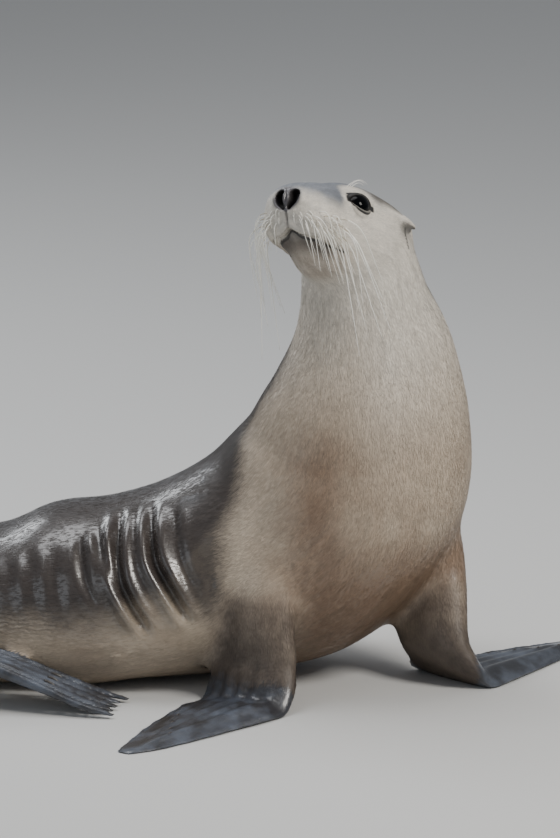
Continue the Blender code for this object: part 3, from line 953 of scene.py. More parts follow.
@dataclass
class Hide:
    """The one skin of the whole animal, with its folds, face and markings."""

    head: HeadFrame
    axis: LongAxis
    voxel: float = 0.0030
    swell: float = 0.0006
    fore_swell: float = 0.0014
    coat_depth: float = 0.0013
    rounds: int = 70

    def swollen(self, name: str) -> Shell:
        """Gives one solid's points and faces, swollen so that it overlaps its neighbours.

        Args:
            name: The solid's node.

        Returns:
            Its points and faces.
        """
        source = bmesh.new()
        source.from_mesh(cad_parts[name].data)
        bmesh.ops.remove_doubles(source, verts=source.verts, dist=1e-6)
        source.normal_update()
        swell = self.fore_swell if name in FORE_FLIPPERS else self.swell
        points = np.array([v.co + swell * v.normal for v in source.verts])
        faces = [tuple(v.index for v in f.verts) for f in source.faces]
        source.free()
        return points, faces

    def base(self) -> Mesh:
        """Joins the flesh as one even surface, each node swollen so that they overlap.

        Returns:
            The mesh, which is its largest shell.
        """
        shells: list[Shell] = []
        self.node_of_face: list[str] = []
        for name in FLESH + EYES:
            own = HIND_TOES[name].shells() if name in HIND_TOES else [self.swollen(name)]
            shells += own
            self.node_of_face += [name] * sum(len(sides) for _, sides in own)
        points, faces = join_shells(shells)
        self.tree = BVHTree.FromPolygons([Vector(p) for p in points], faces)
        joined = new_mesh("shells", points, faces)
        source = new_object("shells", joined)
        remesh = source.modifiers.new("Even", "REMESH")
        remesh.mode = "VOXEL"
        remesh.voxel_size = self.voxel
        made = bpy.data.meshes.new_from_object(source.evaluated_get(bpy.context.evaluated_depsgraph_get()))
        bpy.data.objects.remove(source)
        bpy.data.meshes.remove(joined)
        keep_largest(made)
        made.name = "hide"
        return made

    def read_nodes(self, points: Array) -> tuple[Array, Array]:
        """Gives each point's region number, and which kind of flipper it is on.

        Args:
            points: The points, one per row.

        Returns:
            The region numbers, and FORE, HIND or 0 for each point.
        """
        names = [self.node_of_face[self.tree.find_nearest(Vector(p))[2]] for p in points]
        region = np.array([REGION_OF_NODE.get(name, Region.HEAD).value for name in names])
        kinds = dict.fromkeys(FORE_FLIPPERS, FORE) | dict.fromkeys(HIND_FLIPPERS, HIND)
        flipper = np.array([kinds.get(name, 0) for name in names])
        return region, flipper

    def settle(self, mesh: Mesh) -> None:
        """Smooths the facets away, least on the thin parts, and draws the skin in under the coat.

        Args:
            mesh: The hide's mesh, changed in place.
        """
        points, net = points_of(mesh), Net.of(mesh)
        region, flipper = self.read_nodes(points)
        limb = (region >= Region.RIGHT_ARM.value) & (region <= Region.LEFT_LEG.value)
        head, ear = region == Region.HEAD.value, region == Region.EAR.value
        amount = np.full(len(points), 1.0)
        amount[head] = 0.34
        amount[limb] = 0.5
        height = points[:, 2]
        amount[flipper == FORE] = 0.16 + 0.30 * smooth(height[flipper == FORE], 0.028, 0.040)
        amount[flipper == HIND] = 0.04
        for plan, arm in zip(FLIPPER_PLANS, ARMS):
            _, lead = plan.plan(points)
            heel = (region == arm.value) & (height > 0.022) & (height < 0.10) & (lead < -0.040)
            amount[heel] = 1.0
        amount[ear] = 0.03
        amount = net.relax(amount, 4)
        amount[ear] = 0.03
        points = net.relax(points, self.rounds, amount)
        hind = np.flatnonzero(flipper == HIND)
        held = net.relax((flipper == HIND).astype(float), 6)
        snapped = points.copy()
        snapped[hind] = [self.tree.find_nearest(Vector(points[i]))[0] for i in hind]
        points += (snapped - points) * smooth(held, 0.6, 0.95)[:, None]
        points = net.relax(points, 3, np.where(flipper == HIND, 0.25, 0.0))
        put_points(mesh, points)
        inward = np.full(len(points), self.swell + self.coat_depth)
        inward[head] = self.swell + 0.5 * self.coat_depth
        inward[ear] = self.swell + 0.0002
        inward[flipper == FORE] = self.fore_swell
        inward[flipper == HIND] = 0.0
        inward = net.relax(inward, 12)
        put_points(mesh, points - inward[:, None] * normals_of(mesh))

    def refine(self, mesh: Mesh, fine: bool) -> None:
        """Divides the faces of the head, or only those at the eyes, nose and lips.

        Args:
            mesh: The hide's mesh, changed in place.
            fine: Whether to divide only the eyes, nose and lips.
        """
        shell = bmesh.new()
        shell.from_mesh(mesh)
        middles = np.array([f.calc_center_median() for f in shell.faces])
        forward, left, up = self.head.local(middles)
        wide = np.abs(left)
        if fine:
            nose = (forward > -0.030) & (wide < 0.034) & (up > -0.047)
            at_lip = np.abs(up - self.lip_height(forward, left)) < 0.008
            wanted = nose | ((forward > -0.104) & at_lip & (wide < 0.06))
            for side in Side:
                wanted |= np.linalg.norm(middles - Lids(self.head, side).axes()[0], axis=1) < 0.025
        else:
            wanted = (forward > -0.215) & (up > -0.100) & (up < 0.08) & (wide < 0.10)
        shell.faces.ensure_lookup_table()
        edges = {edge for index in np.where(wanted)[0] for edge in shell.faces[index].edges}
        bmesh.ops.subdivide_edges(shell, edges=list(edges), cuts=1, use_grid_fill=True)
        shell.to_mesh(mesh)
        shell.free()
        points, net = points_of(mesh), Net.of(mesh)
        forward, left, up = self.head.local(points)
        inner = smooth(forward, -0.215, -0.200) * (up > -0.1) * (np.abs(left) < 0.10)
        put_points(mesh, net.relax(points, 3, inner))

    @staticmethod
    def lip_run(forward: Array, left: Array) -> Array:
        """Gives how far round the lip from the middle of the nose each point is."""
        return np.abs(left) + np.maximum(-forward - 0.0274, 0.0)

    def lip_height(self, forward: Array, left: Array) -> Array:
        """Gives how high the line of the mouth runs where each point is."""
        return np.interp(self.lip_run(forward, left), *zip(*LIP_LINE))

    def mouth_gap(self, forward: Array, left: Array, up: Array) -> tuple[Array, Array]:
        """Gives how far outside the parted lips each point is, and how far above their line.

        Args:
            forward: How far forward of the nose each point is.
            left: How far to its left.
            up: How far above it.

        Returns:
            The distance outside the lips, less than 0 between them, and the height.
        """
        above = up - self.lip_height(forward, left)
        gape = 0.0012 + 0.0009 * hump(np.abs(left) - 0.007, 0.010) * smooth(forward, -0.034, -0.022)
        return np.abs(above + 0.5 * gape) - gape, above

    def nostril(self, points: Array) -> Array:
        """Gives how far outside the nearer nostril each point is, less than 0 within it.

        Args:
            points: The points, one per row.

        Returns:
            The distances.
        """
        _, left, up = self.head.local(points)
        share, off_wide, off_up = beside(np.abs(left), up, (0.0046, -0.0112), (0.0114, 0.0056))
        bow = 0.0016 * np.sin(np.pi * share)
        return np.hypot(off_wide - bow, off_up + bow) - (0.0038 + 0.0042 * share)

    def model_broadly(self, mesh: Mesh) -> None:
        """Shapes the brow, cheeks and whisker pads, the body's folds, and the fingers.

        Args:
            mesh: The hide's mesh, changed in place.
        """
        points = points_of(mesh)
        forward, left, up = self.head.local(points)
        wide = np.abs(left)
        face = smooth(forward, -0.2, -0.15)
        moved = np.zeros(len(points))
        moved += face * 0.0012 * hump(forward + 0.085, 0.045) * smooth(up, 0.015, 0.035) * hump(left, 0.05)
        moved -= 0.0030 * hump(forward + 0.060, 0.030) * hump(up + 0.062, 0.010) * smooth(wide, 0.01, 0.03)
        for height, middle, spread in FACE_RISES:
            moved += height * blob((forward, wide, up), middle, spread)
        for fold in SIDE_FOLDS + FAR_SIDE_FOLDS + ARMPIT_FOLDS:
            fold.press(points, moved)
        x, y, z = points.T
        flank = smooth(np.abs(y - 0.041), 0.075, 0.11) * smooth(x, -0.22, -0.17) * smooth(x, -0.06, -0.10)
        moved += 0.0017 * flank * hump(z - 0.160, 0.042) * np.sin(2 * np.pi * (x + 0.15 * z) / 0.033)
        normals = normals_of(mesh)
        for flipper in FLIPPER_PLANS:
            out, lead = flipper.plan(points)
            low, high = (np.array(corner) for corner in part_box(flipper.node))
            on = ((points > low - 0.01) & (points < high + 0.01)).all(1) & (out > 0.0)
            ridge = flipper.ridges(points)
            web = smooth(out, 0.03, 0.09) * smooth(out, 0.30, 0.24)
            top = smooth(normals[:, 2], 0.0, 0.5)
            rise = 0.0026 * ridge - 0.0012 * web * (1 - np.minimum(ridge, 1.0))
            moved += on * top * rise * smooth(out, 0.0, 0.03)
            behind = smooth(lead, -0.012, -0.030) * smooth(out, 0.05, 0.09)
            scallop = 0.0022 * np.sin(2 * np.pi * out / 0.043) * behind
            moved += on * (1 - np.abs(normals[:, 2])) * scallop
        points = points + moved[:, None] * normals
        points[:, 2] = np.maximum(points[:, 2], HIDE_CLEAR)
        put_points(mesh, points)

    def model_face(self, mesh: Mesh) -> None:
        """Cuts the nostrils, the groove of the lip, the mouth and the lids.

        Args:
            mesh: The hide's mesh, changed in place.
        """
        points = points_of(mesh)
        forward, left, up = self.head.local(points)
        wide = np.abs(left)
        front = smooth(forward, -0.020, -0.010)
        outside = self.nostril(points)
        inward = 0.0135 * smooth(outside, 0.0006, -0.0040) - 0.0016 * hump(outside - 0.0030, 0.0026)
        nose = front * inward
        nose += front * 0.0012 * hump(left, 0.0014) * smooth(up, -0.013, -0.008) * smooth(up, 0.016, 0.010)
        nose -= front * 0.0014 * hump(wide - 0.004, 0.0022) * hump(up - 0.001, 0.009)
        under_nose = smooth(up, -0.014, -0.018) * smooth(up, -0.042, -0.036) * smooth(forward, -0.04, -0.02)
        nose += 0.0026 * hump(left, 0.0016) * under_nose
        points = points - nose[:, None] * self.head.forward
        put_points(mesh, points)
        normals = normals_of(mesh)
        forward, left, up = self.head.local(points)
        wide = np.abs(left)
        run = self.lip_run(forward, left)
        mouth = smooth(run, 0.108, 0.098) * (up > -0.075)
        gap, above = self.mouth_gap(forward, left, up)
        moved = -(0.0050 + 0.0035 * hump(left, 0.013)) * mouth * smooth(gap, 0.0012, -0.0008)
        moved += 0.0026 * mouth * hump(above - 0.0058, 0.0046)
        set_back = smooth(above, 0.0, -0.0030) * smooth(above, -0.030, -0.012)
        moved -= (0.0030 + 0.0022 * smooth(run, 0.07, 0.02)) * mouth * set_back
        rows = np.sin(2 * np.pi * (up + 0.35 * forward) / 0.0068)
        rows *= np.sin(2 * np.pi * (forward - 0.2 * up) / 0.0076)
        moved += 0.00035 * blob((forward, wide, up), *WHISKER_PAD) * rows
        points = points + moved[:, None] * normals
        for side in Side:
            points = Lids(self.head, side).close(points)
        put_points(mesh, points)

    def build(self, finish: "PeltFinish") -> Object:
        """Makes the hide, in place of the flesh, and finishes it.

        Args:
            finish: What the hide is finished in.

        Returns:
            The hide.
        """
        mesh = self.base()
        self.settle(mesh)
        self.refine(mesh, fine=False)
        self.model_broadly(mesh)
        self.refine(mesh, fine=True)
        self.model_face(mesh)
        made = new_piece("hide", mesh, finish.skin())
        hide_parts(*FLESH)
        self.pelt = Pelt(self, mesh)
        self.pelt.keep(mesh)
        return made


class Pelt:
    """Where each marking, with its painted light and shade, falls on the hide, and which way the hair lies
    there.
    """

    rounds = 60

    def __init__(self, hide: Hide, mesh: Mesh) -> None:
        """Reads the hide's shape and works out its markings and its lie.

        Args:
            hide: The skin, with its head and axis.
            mesh: The skin's finished mesh.
        """
        self.hide, self.head, self.axis = hide, hide.head, hide.axis
        self.points, self.normals = points_of(mesh), normals_of(mesh)
        self.triangles = triangles_of(mesh)
        self.net = Net.of(mesh)
        self.region, self.flipper = hide.read_nodes(self.points)
        self.share = {region: (self.region == region.value).astype(float) for region in Region}
        self.share = {region: self.net.relax(share, self.rounds) for region, share in self.share.items()}
        self.marks: dict[Mark, Array] = {}
        self.lay()
        self.mark_body()
        self.mark_limbs()
        self.mark_face()

    def lay(self) -> None:
        """Works out the lie of the hair, and coordinates that run with it."""
        _, where, spot = along(self.axis.line, self.points)
        away = self.points - spot
        self.where, self.away = where, away
        run = read_at(self.axis.length, where)
        across = (away * read_at(self.axis.across, where)).sum(1)
        over = (away * read_at(self.axis.over, where)).sum(1)
        grain = np.stack([run, across, over], axis=1)
        lie = read_at(self.axis.onward, where)
        turn = 0.5 + np.arctan2(over, across) / (2 * np.pi)
        self.wrap = np.stack([run / self.axis.length[-1], turn], axis=1)
        total = sum(self.share[limb.region] for limb in LIMBS)
        grain, lie = grain * (1 - total)[:, None], lie * (1 - total)[:, None]
        self.down: dict[Region, Array] = {}
        for limb in LIMBS:
            share = self.share[limb.region]
            down, offset, way = limb.lie(self.points)
            self.down[limb.region] = down - limb.wrist_at
            side = unit(np.cross(way, UP) + 1e-6)
            flat, tall = (offset * side).sum(1), (offset * np.cross(side, way)).sum(1)
            own = np.stack([down, flat, tall], axis=1)
            edge = (share > 0.3) & (share < 0.7)
            shift = np.stack([run, across, over], axis=1)[edge].mean(0) - own[edge].mean(0)
            grain += (own + shift) * share[:, None]
            lie += way * share[:, None]
            inside = self.region == limb.region.value
            turn = 0.5 + np.arctan2(tall, flat) / (2 * np.pi)
            self.wrap[inside] = np.stack([down / limb.length[-1], turn], axis=1)[inside]
        edges = 4 * total * (1 - total)
        self.grain = self.net.relax(grain, self.rounds, np.clip(0.25 + edges, 0, 1))
        lie = self.net.relax(unit(lie), 12)
        self.lie_way = unit(lie - (lie * self.normals).sum(1, keepdims=True) * self.normals)

    def deepen(self, mark: Mark, amount: Array) -> None:
        """Adds to a marking, which stays a share from 0 to 1."""
        self.marks[mark] = np.clip(self.marks[mark] + amount, 0, 1)

    def mark_body(self) -> None:
        """Marks the back, throat, chest and belly, with painted light on the key side and painted shade on
        the lower chest.
        """
        points, share = self.points, self.share
        x, _, z = points.T
        back_way = read_at(self.axis.back, self.where)
        facing = self.net.relax((unit(self.away) * back_way).sum(1), 10)
        on_trunk = share[Region.TRUNK]
        rear = smooth(x, 0.165, 0.02)
        saddle = 0.92 * smooth(x, 0.128, 0.078) * smooth(z + 0.25 * x, 0.110, 0.165)
        back = smooth(facing, -0.10 - 0.14 * rear, 0.34 - 0.12 * rear)
        self.marks[Mark.BACK] = np.maximum(back, saddle) * on_trunk
        # Painted light: the side of the neck and chest turned towards the key light is made brighter and
        # less tan.
        way_to_key = self.head.left * [1.0, 1.0, 0.0]
        lit_side = smooth(self.normals @ unit(way_to_key), 0.30, 0.85)
        height = smooth(z + 0.05 * lit_side, 0.35, 0.63)
        self.marks[Mark.BRIGHT] = np.clip(share[Region.HEAD] + share[Region.EAR] + on_trunk * height, 0, 1)
        # Tan of the lower chest: partly the fur's own wet brown, partly painted shade and painted warm
        # reflected light.
        chest = smooth(z, 0.52, 0.27) * smooth(x, 0.10, 0.24) * (1 - 0.62 * lit_side * smooth(z, 0.15, 0.26))
        low_flank = smooth(x, 0.12, 0.02) * smooth(z, 0.15, 0.06)
        self.marks[Mark.TAN] = np.clip((0.95 * chest + 0.25 * low_flank) * on_trunk, 0, 1)
        flank = smooth(x, 0.14, 0.02) * smooth(z, 0.03, 0.09)
        glint = np.linalg.norm((points - np.array([0.306, -0.112, 0.170])) * [1.0, 0.8, 1.3], axis=1)
        self.marks[Mark.WET] = np.clip(0.95 * flank + 0.35 * chest + hump(glint, 0.030), 0, 1) * on_trunk
        # A pale blue-grey patch on the back behind the shoulder.
        scuff = np.linalg.norm((points - np.array([0.052, -0.016, 0.284])) * [1.2, 0.55, 1.0], axis=1)
        self.marks[Mark.SCUFF] = hump(scuff, 0.022) * on_trunk
        ripple = smooth(x, -0.11, -0.14) * smooth(x, -0.235, -0.21) * hump(z - 0.112, 0.030)
        self.marks[Mark.RIPPLE] = ripple * on_trunk

    def mark_limbs(self) -> None:
        """Marks the fur's end on each flipper and the bare skin beyond, and paints shade on the fore limbs.
        """
        bare = np.zeros(len(self.points))
        height = self.points[:, 2]
        # Painted shade on the fore limbs, carried on the back's dark colour: darker towards the floor.
        shade = (0.45 + 0.35 * smooth(height, 0.16, 0.05)) * smooth(height, 0.250, 0.105)
        for flipper, region in zip(FLIPPER_PLANS, ARMS):
            out, lead = flipper.plan(self.points)
            edge = 0.029 - 0.020 * np.square(np.clip(lead, -0.08, 0.08) / 0.065)
            low = smooth(height + 0.022 * smooth(lead, -0.035, -0.060), 0.062, 0.050)
            arm = self.share[region]
            bare = np.maximum(bare, smooth(out - edge, -0.006, 0.006) * low * (arm > 0.4))
            self.deepen(Mark.BACK, shade * arm)
            self.deepen(Mark.TAN, 0.6 * arm * smooth(height, 0.23, 0.15))
        for region in LEGS:
            leg = self.share[region]
            bare = np.maximum(bare, smooth(self.down[region], 0.000, 0.014) * (leg > 0.4))
            self.deepen(Mark.BACK, 0.55 * leg)
            self.deepen(Mark.TAN, 0.5 * leg)
        self.marks[Mark.BARE] = bare

    def mark_face(self) -> None:
        """Marks the muzzle, crown, nose, lips, lids and ears, with painted shade in the nostrils and mouth,
        under the lip and chin, and on and beneath the ears.
        """
        forward, left, up = self.head.local(self.points)
        wide = np.abs(left)
        on_head = self.share[Region.HEAD]
        right, left_eye = (Lids(self.head, side).read(self.points) for side in Side)
        distance = np.minimum(right[0], left_eye[0])
        nearer = right[0] < left_eye[0]
        outside, ahead, above = (np.where(nearer, right[i], left_eye[i]) for i in (2, 3, 4))
        outside = np.where(distance < 0.04, outside, 1.0)
        round_eye = smooth(distance, 0.042, 0.030)
        edge = np.interp(-forward, *zip(*SILVER_EDGE))
        silver = smooth(up - edge, -0.010, 0.014) * smooth(forward, -0.160, -0.115) * (1 - 0.9 * round_eye)
        self.marks[Mark.SILVER] = np.clip(silver * on_head, 0, 1)
        nape = up + 0.95 * np.maximum(-forward - 0.160, 0.0)
        crown = smooth(nape, 0.018, 0.032) * smooth(forward, -0.118, -0.145) * smooth(wide, 0.072, 0.048)
        self.deepen(Mark.BACK, 0.88 * crown * on_head)
        nostril = self.hide.nostril(self.points)
        front = smooth(forward, -0.030, -0.022)
        pad = np.sqrt(np.square(wide / 0.0235) + np.square((up - 0.0005) / 0.0185))
        cleft = hump(left, 0.0030) * smooth(up, -0.012, -0.018) * smooth(up, -0.042, -0.036)
        self.marks[Mark.NOSE] = np.clip(front * (smooth(pad, 1.08, 0.80) + 0.6 * cleft), 0, 1)
        lips, over_lip = self.hide.mouth_gap(forward, left, up)
        run = self.hide.lip_run(forward, left)
        mouth = smooth(run, 0.112, 0.104) * (up > -0.08) * on_head
        # Painted shadow under the overhanging upper lip, carried on the back's dark colour.
        under_lip_shadow = mouth * smooth(over_lip, 0.0005, -0.0015) * smooth(over_lip, -0.0200, -0.0030)
        self.deepen(Mark.BACK, 0.80 * under_lip_shadow * smooth(run, 0.105, 0.060))
        near_eye = smooth(distance, 0.0290, 0.0255)
        thick = 0.0030 + 0.0014 * smooth(above, -0.002, 0.004)
        rim = near_eye * smooth(outside - thick, 0.0010, 0.0002)
        # The dark rim is paler along the lower lid's edge.
        pale_lid_edge = hump(outside - 0.0006, 0.0007) * smooth(above, -0.0030, -0.0060)
        rim = rim * (1 - 0.34 * pale_lid_edge)
        tear = near_eye * hump(outside - 0.003, 0.0030) * smooth(ahead, 0.012, 0.016) * hump(above, 0.0022)
        # The nostrils and the mouth's slit are painted near black: their own dark skin, and painted shade
        # inside the holes.
        parted = 0.90 * mouth * smooth(lips, 0.0010, -0.0004)
        dark = np.maximum(front * smooth(nostril, 0.0010, -0.0014), parted)
        dark = np.maximum(dark, np.maximum(rim, 0.9 * tear))
        # Painted shade on the ear's underside, and a painted shadow in the crease beneath the ear.
        ear = self.share[Region.EAR] * smooth(self.normals @ self.head.up, 0.2, -0.3)
        fall = np.clip((0.006 - up) / 0.024, 0.0, 1.0)
        crease = np.hypot(forward + 0.183 + 0.020 * fall, up - 0.006 + 0.024 * fall)
        crease = hump(crease, 0.0050 - 0.0028 * fall)
        crease = crease * smooth(wide, 0.052, 0.060) * smooth(up, 0.010, 0.004)
        self.marks[Mark.DARK] = np.clip(np.maximum(dark, np.maximum(0.85 * ear, 0.95 * crease)), 0, 1)
        # The chin and lower jaw: partly their own brown, partly painted shade under the jaw, so darker and
        # less bright.
        chin_brown_and_shade = smooth(up, -0.044, -0.052) * smooth(forward, -0.130, -0.090)
        self.deepen(Mark.TAN, 0.80 * chin_brown_and_shade * on_head)
        self.deepen(Mark.BRIGHT, -0.50 * chin_brown_and_shade * on_head)
        self.outside_eye = outside

    def keep(self, mesh: Mesh) -> None:
        """Keeps the markings and the grain on the hide.

        Args:
            mesh: The hide's mesh.
        """
        for mark in Mark:
            keep_share(mesh, mark.value, self.marks[mark])
        keep_share(mesh, "grain", self.grain)


class Wiring:
    """Adds nodes to one node tree, with their settings and what feeds them."""

    def __init__(self, tree: NodeTree) -> None:
        """Takes the tree to add to."""
        self.tree = tree

    def feed(self, node: Node, feeds: dict) -> None:
        """Gives each of a node's inputs, by its name or number, a value or a socket.

        Args:
            node: The node.
            feeds: The value or socket for each input.
        """
        for key, value in feeds.items():
            if isinstance(value, NodeSocket):
                self.tree.links.new(value, node.inputs[key])
            else:
                node.inputs[key].default_value = value

    def add(self, kind: str, feeds: dict | None = None, **settings: object) -> Node:
        """Adds one node.

        Args:
            kind: The node's type, without ShaderNode.
            feeds: A value or a socket for each input, by its name or number.
            settings: The node's own settings.

        Returns:
            The node.
        """
        node = self.tree.nodes.new(kind if kind.startswith("Node") else "ShaderNode" + kind)
        for name, value in settings.items():
            setattr(node, name, value)
        self.feed(node, feeds or {})
        return node

    def sum(self, kind: str, first: object, second: object, clamp: bool = False) -> NodeSocket:
        """Gives one sum of two numbers, of a named kind."""
        return self.add("Math", {0: first, 1: second}, operation=kind, use_clamp=clamp).outputs[0]

    def times(self, *factors: object) -> NodeSocket:
        """Gives the product of numbers."""
        return reduce(lambda first, second: self.sum("MULTIPLY", first, second), factors)

    def mix(self, share: object, first: object, second: object) -> NodeSocket:
        """Gives a colour between two, by a share."""
        return self.add("Mix", {0: share, 6: first, 7: second}, data_type="RGBA").outputs[2]

    def between(self, share: object, first: object, second: object) -> NodeSocket:
        """Gives a number between two, by a share."""
        return self.add("Mix", {0: share, 2: first, 3: second}).outputs[0]

    def span(self, value: object, low: float, high: float, to_low: float, to_high: float) -> NodeSocket:
        """Gives a value carried from one span of numbers to another."""
        feeds = {"Value": value, "From Min": low, "From Max": high, "To Min": to_low, "To Max": to_high}
        return self.add("MapRange", feeds).outputs[0]

    def kept(self, name: str, output: str = "Fac") -> NodeSocket:
        """Gives what is kept on the mesh under a name."""
        return self.add("Attribute", attribute_name=name).outputs[output]

    def place(self) -> NodeSocket:
        """Gives the place on the object."""
        return self.add("TexCoord").outputs["Object"]

    def stretched(self, vector: object, by: object) -> NodeSocket:
        """Gives a vector with each of its parts multiplied."""
        return self.add("VectorMath", {0: vector, 1: by}, operation="MULTIPLY").outputs[0]

    def noise(
        self, at: object, scale: object, detail: float, roughness: float = 0.5, distortion: object = 0.0
    ) -> NodeSocket:
        """Gives soft noise about a half."""
        feeds = {"Vector": at, "Scale": scale, "Detail": detail, "Roughness": roughness}
        return self.add("TexNoise", feeds | {"Distortion": distortion}).outputs[0]

    def toned(self, colour: object, value: object, saturation: float = 1.0) -> NodeSocket:
        """Gives a colour made lighter or darker, and richer or duller."""
        feeds = {"Color": colour, "Saturation": saturation, "Value": value}
        return self.add("HueSaturation", feeds).outputs[0]


def new_material(name: str) -> tuple[Material, Wiring, Node]:
    """Starts a material of nodes.

    Args:
        name: The material's name.

    Returns:
        The material, its wiring and its shader.
    """
    material = bpy.data.materials.new(name)
    material.use_nodes = True
    return material, Wiring(material.node_tree), material.node_tree.nodes["Principled BSDF"]


def new_group(
    name: str, inputs: dict[str, tuple[str, object]], outputs: dict[str, str]
) -> tuple[Wiring, bpy_prop_collection, Node]:
    """Starts a node group.

    Args:
        name: The group's name.
        inputs: For each input its kind of socket and its usual value.
        outputs: For each output its kind of socket.

    Returns:
        The group's wiring, the sockets it is given, and the node of its outputs.
    """
    group = bpy.data.node_groups.new(name, "ShaderNodeTree")
    for label, (kind, value) in inputs.items():
        socket = group.interface.new_socket(label, in_out="INPUT", socket_type="NodeSocket" + kind)
        socket.default_value = value
    for label, kind in outputs.items():
        group.interface.new_socket(label, in_out="OUTPUT", socket_type="NodeSocket" + kind)
    wiring = Wiring(group)
    return wiring, wiring.add("NodeGroupInput").outputs, wiring.add("NodeGroupOutput")


def strand_group() -> None:
    """Makes the group for hair grain: streaks that run with the lie of the hair."""
    inputs = {"Along": ("Float", 70.0), "Across": ("Float", 700.0), "Wander": ("Float", 0.4)}
    wiring, given, out = new_group("hair_grain", inputs, {"Height": "Float", "Tone": "Float"})
    ways = wiring.add("CombineXYZ", {0: given["Along"], 1: given["Across"], 2: given["Across"]}).outputs[0]
    placed = wiring.stretched(wiring.kept("grain", "Vector"), ways)
    fine = wiring.noise(placed, 1.0, 3.0, 0.6, given["Wander"])
    slow = wiring.add("VectorMath", {0: placed, "Scale": 0.19}, operation="SCALE").outputs[0]
    clump = wiring.noise(slow, 1.0, 2.0, 0.5, 0.5)
    height = wiring.sum("ADD", wiring.times(fine, 0.45), wiring.times(clump, 0.55))
    wiring.feed(out, {"Height": height, "Tone": wiring.times(wiring.sum("SUBTRACT", height, 0.5), 2.0)})


def leather_group() -> None:
    """Makes the group for bare leathery skin: fine cells, and creases across it."""
    inputs = {"Cell": ("Float", 420.0), "Crease": ("Float", 90.0)}
    wiring, given, out = new_group("leather_grain", inputs, {"Height": "Float", "Tone": "Float"})
    place = wiring.place()
    feeds = {"Vector": place, "Scale": given["Cell"], "Randomness": 0.9}
    cells = wiring.add("TexVoronoi", feeds, feature="DISTANCE_TO_EDGE").outputs["Distance"]
    streak = wiring.stretched(wiring.kept("grain", "Vector"), (1.0, 0.30, 0.30))
    crease = wiring.noise(streak, given["Crease"], 4.0, 0.6, 0.6)
    edge = wiring.span(cells, 0.0, 0.25, 0.0, 1.0)
    height = wiring.sum("ADD", wiring.times(edge, 0.25), wiring.times(crease, 0.75))
    wiring.feed(out, {"Height": height, "Tone": wiring.noise(place, 22.0, 4.0, 0.6)})


@dataclass(frozen=True)
class PeltColours:
    """The colours of the hair and of the bare skin."""

    cream: Colour = (0.54, 0.455, 0.355)
    bright: Colour = (0.64, 0.60, 0.53)
    tan: Colour = (0.200, 0.130, 0.085)
    silver: Colour = (0.180, 0.192, 0.215)
    back: Colour = (0.050, 0.040, 0.035)
    leather: Colour = (0.022, 0.023, 0.028)
    # The blue-grey of the bare skin's paler patches, partly painted sky reflection.
    leather_worn: Colour = (0.085, 0.100, 0.130)
    nose: Colour = (0.070, 0.064, 0.070)
    dark: Colour = (0.010, 0.009, 0.009)
    # The pale blue-grey of the patch on the back.
    scuff: Colour = (0.55, 0.60, 0.66)


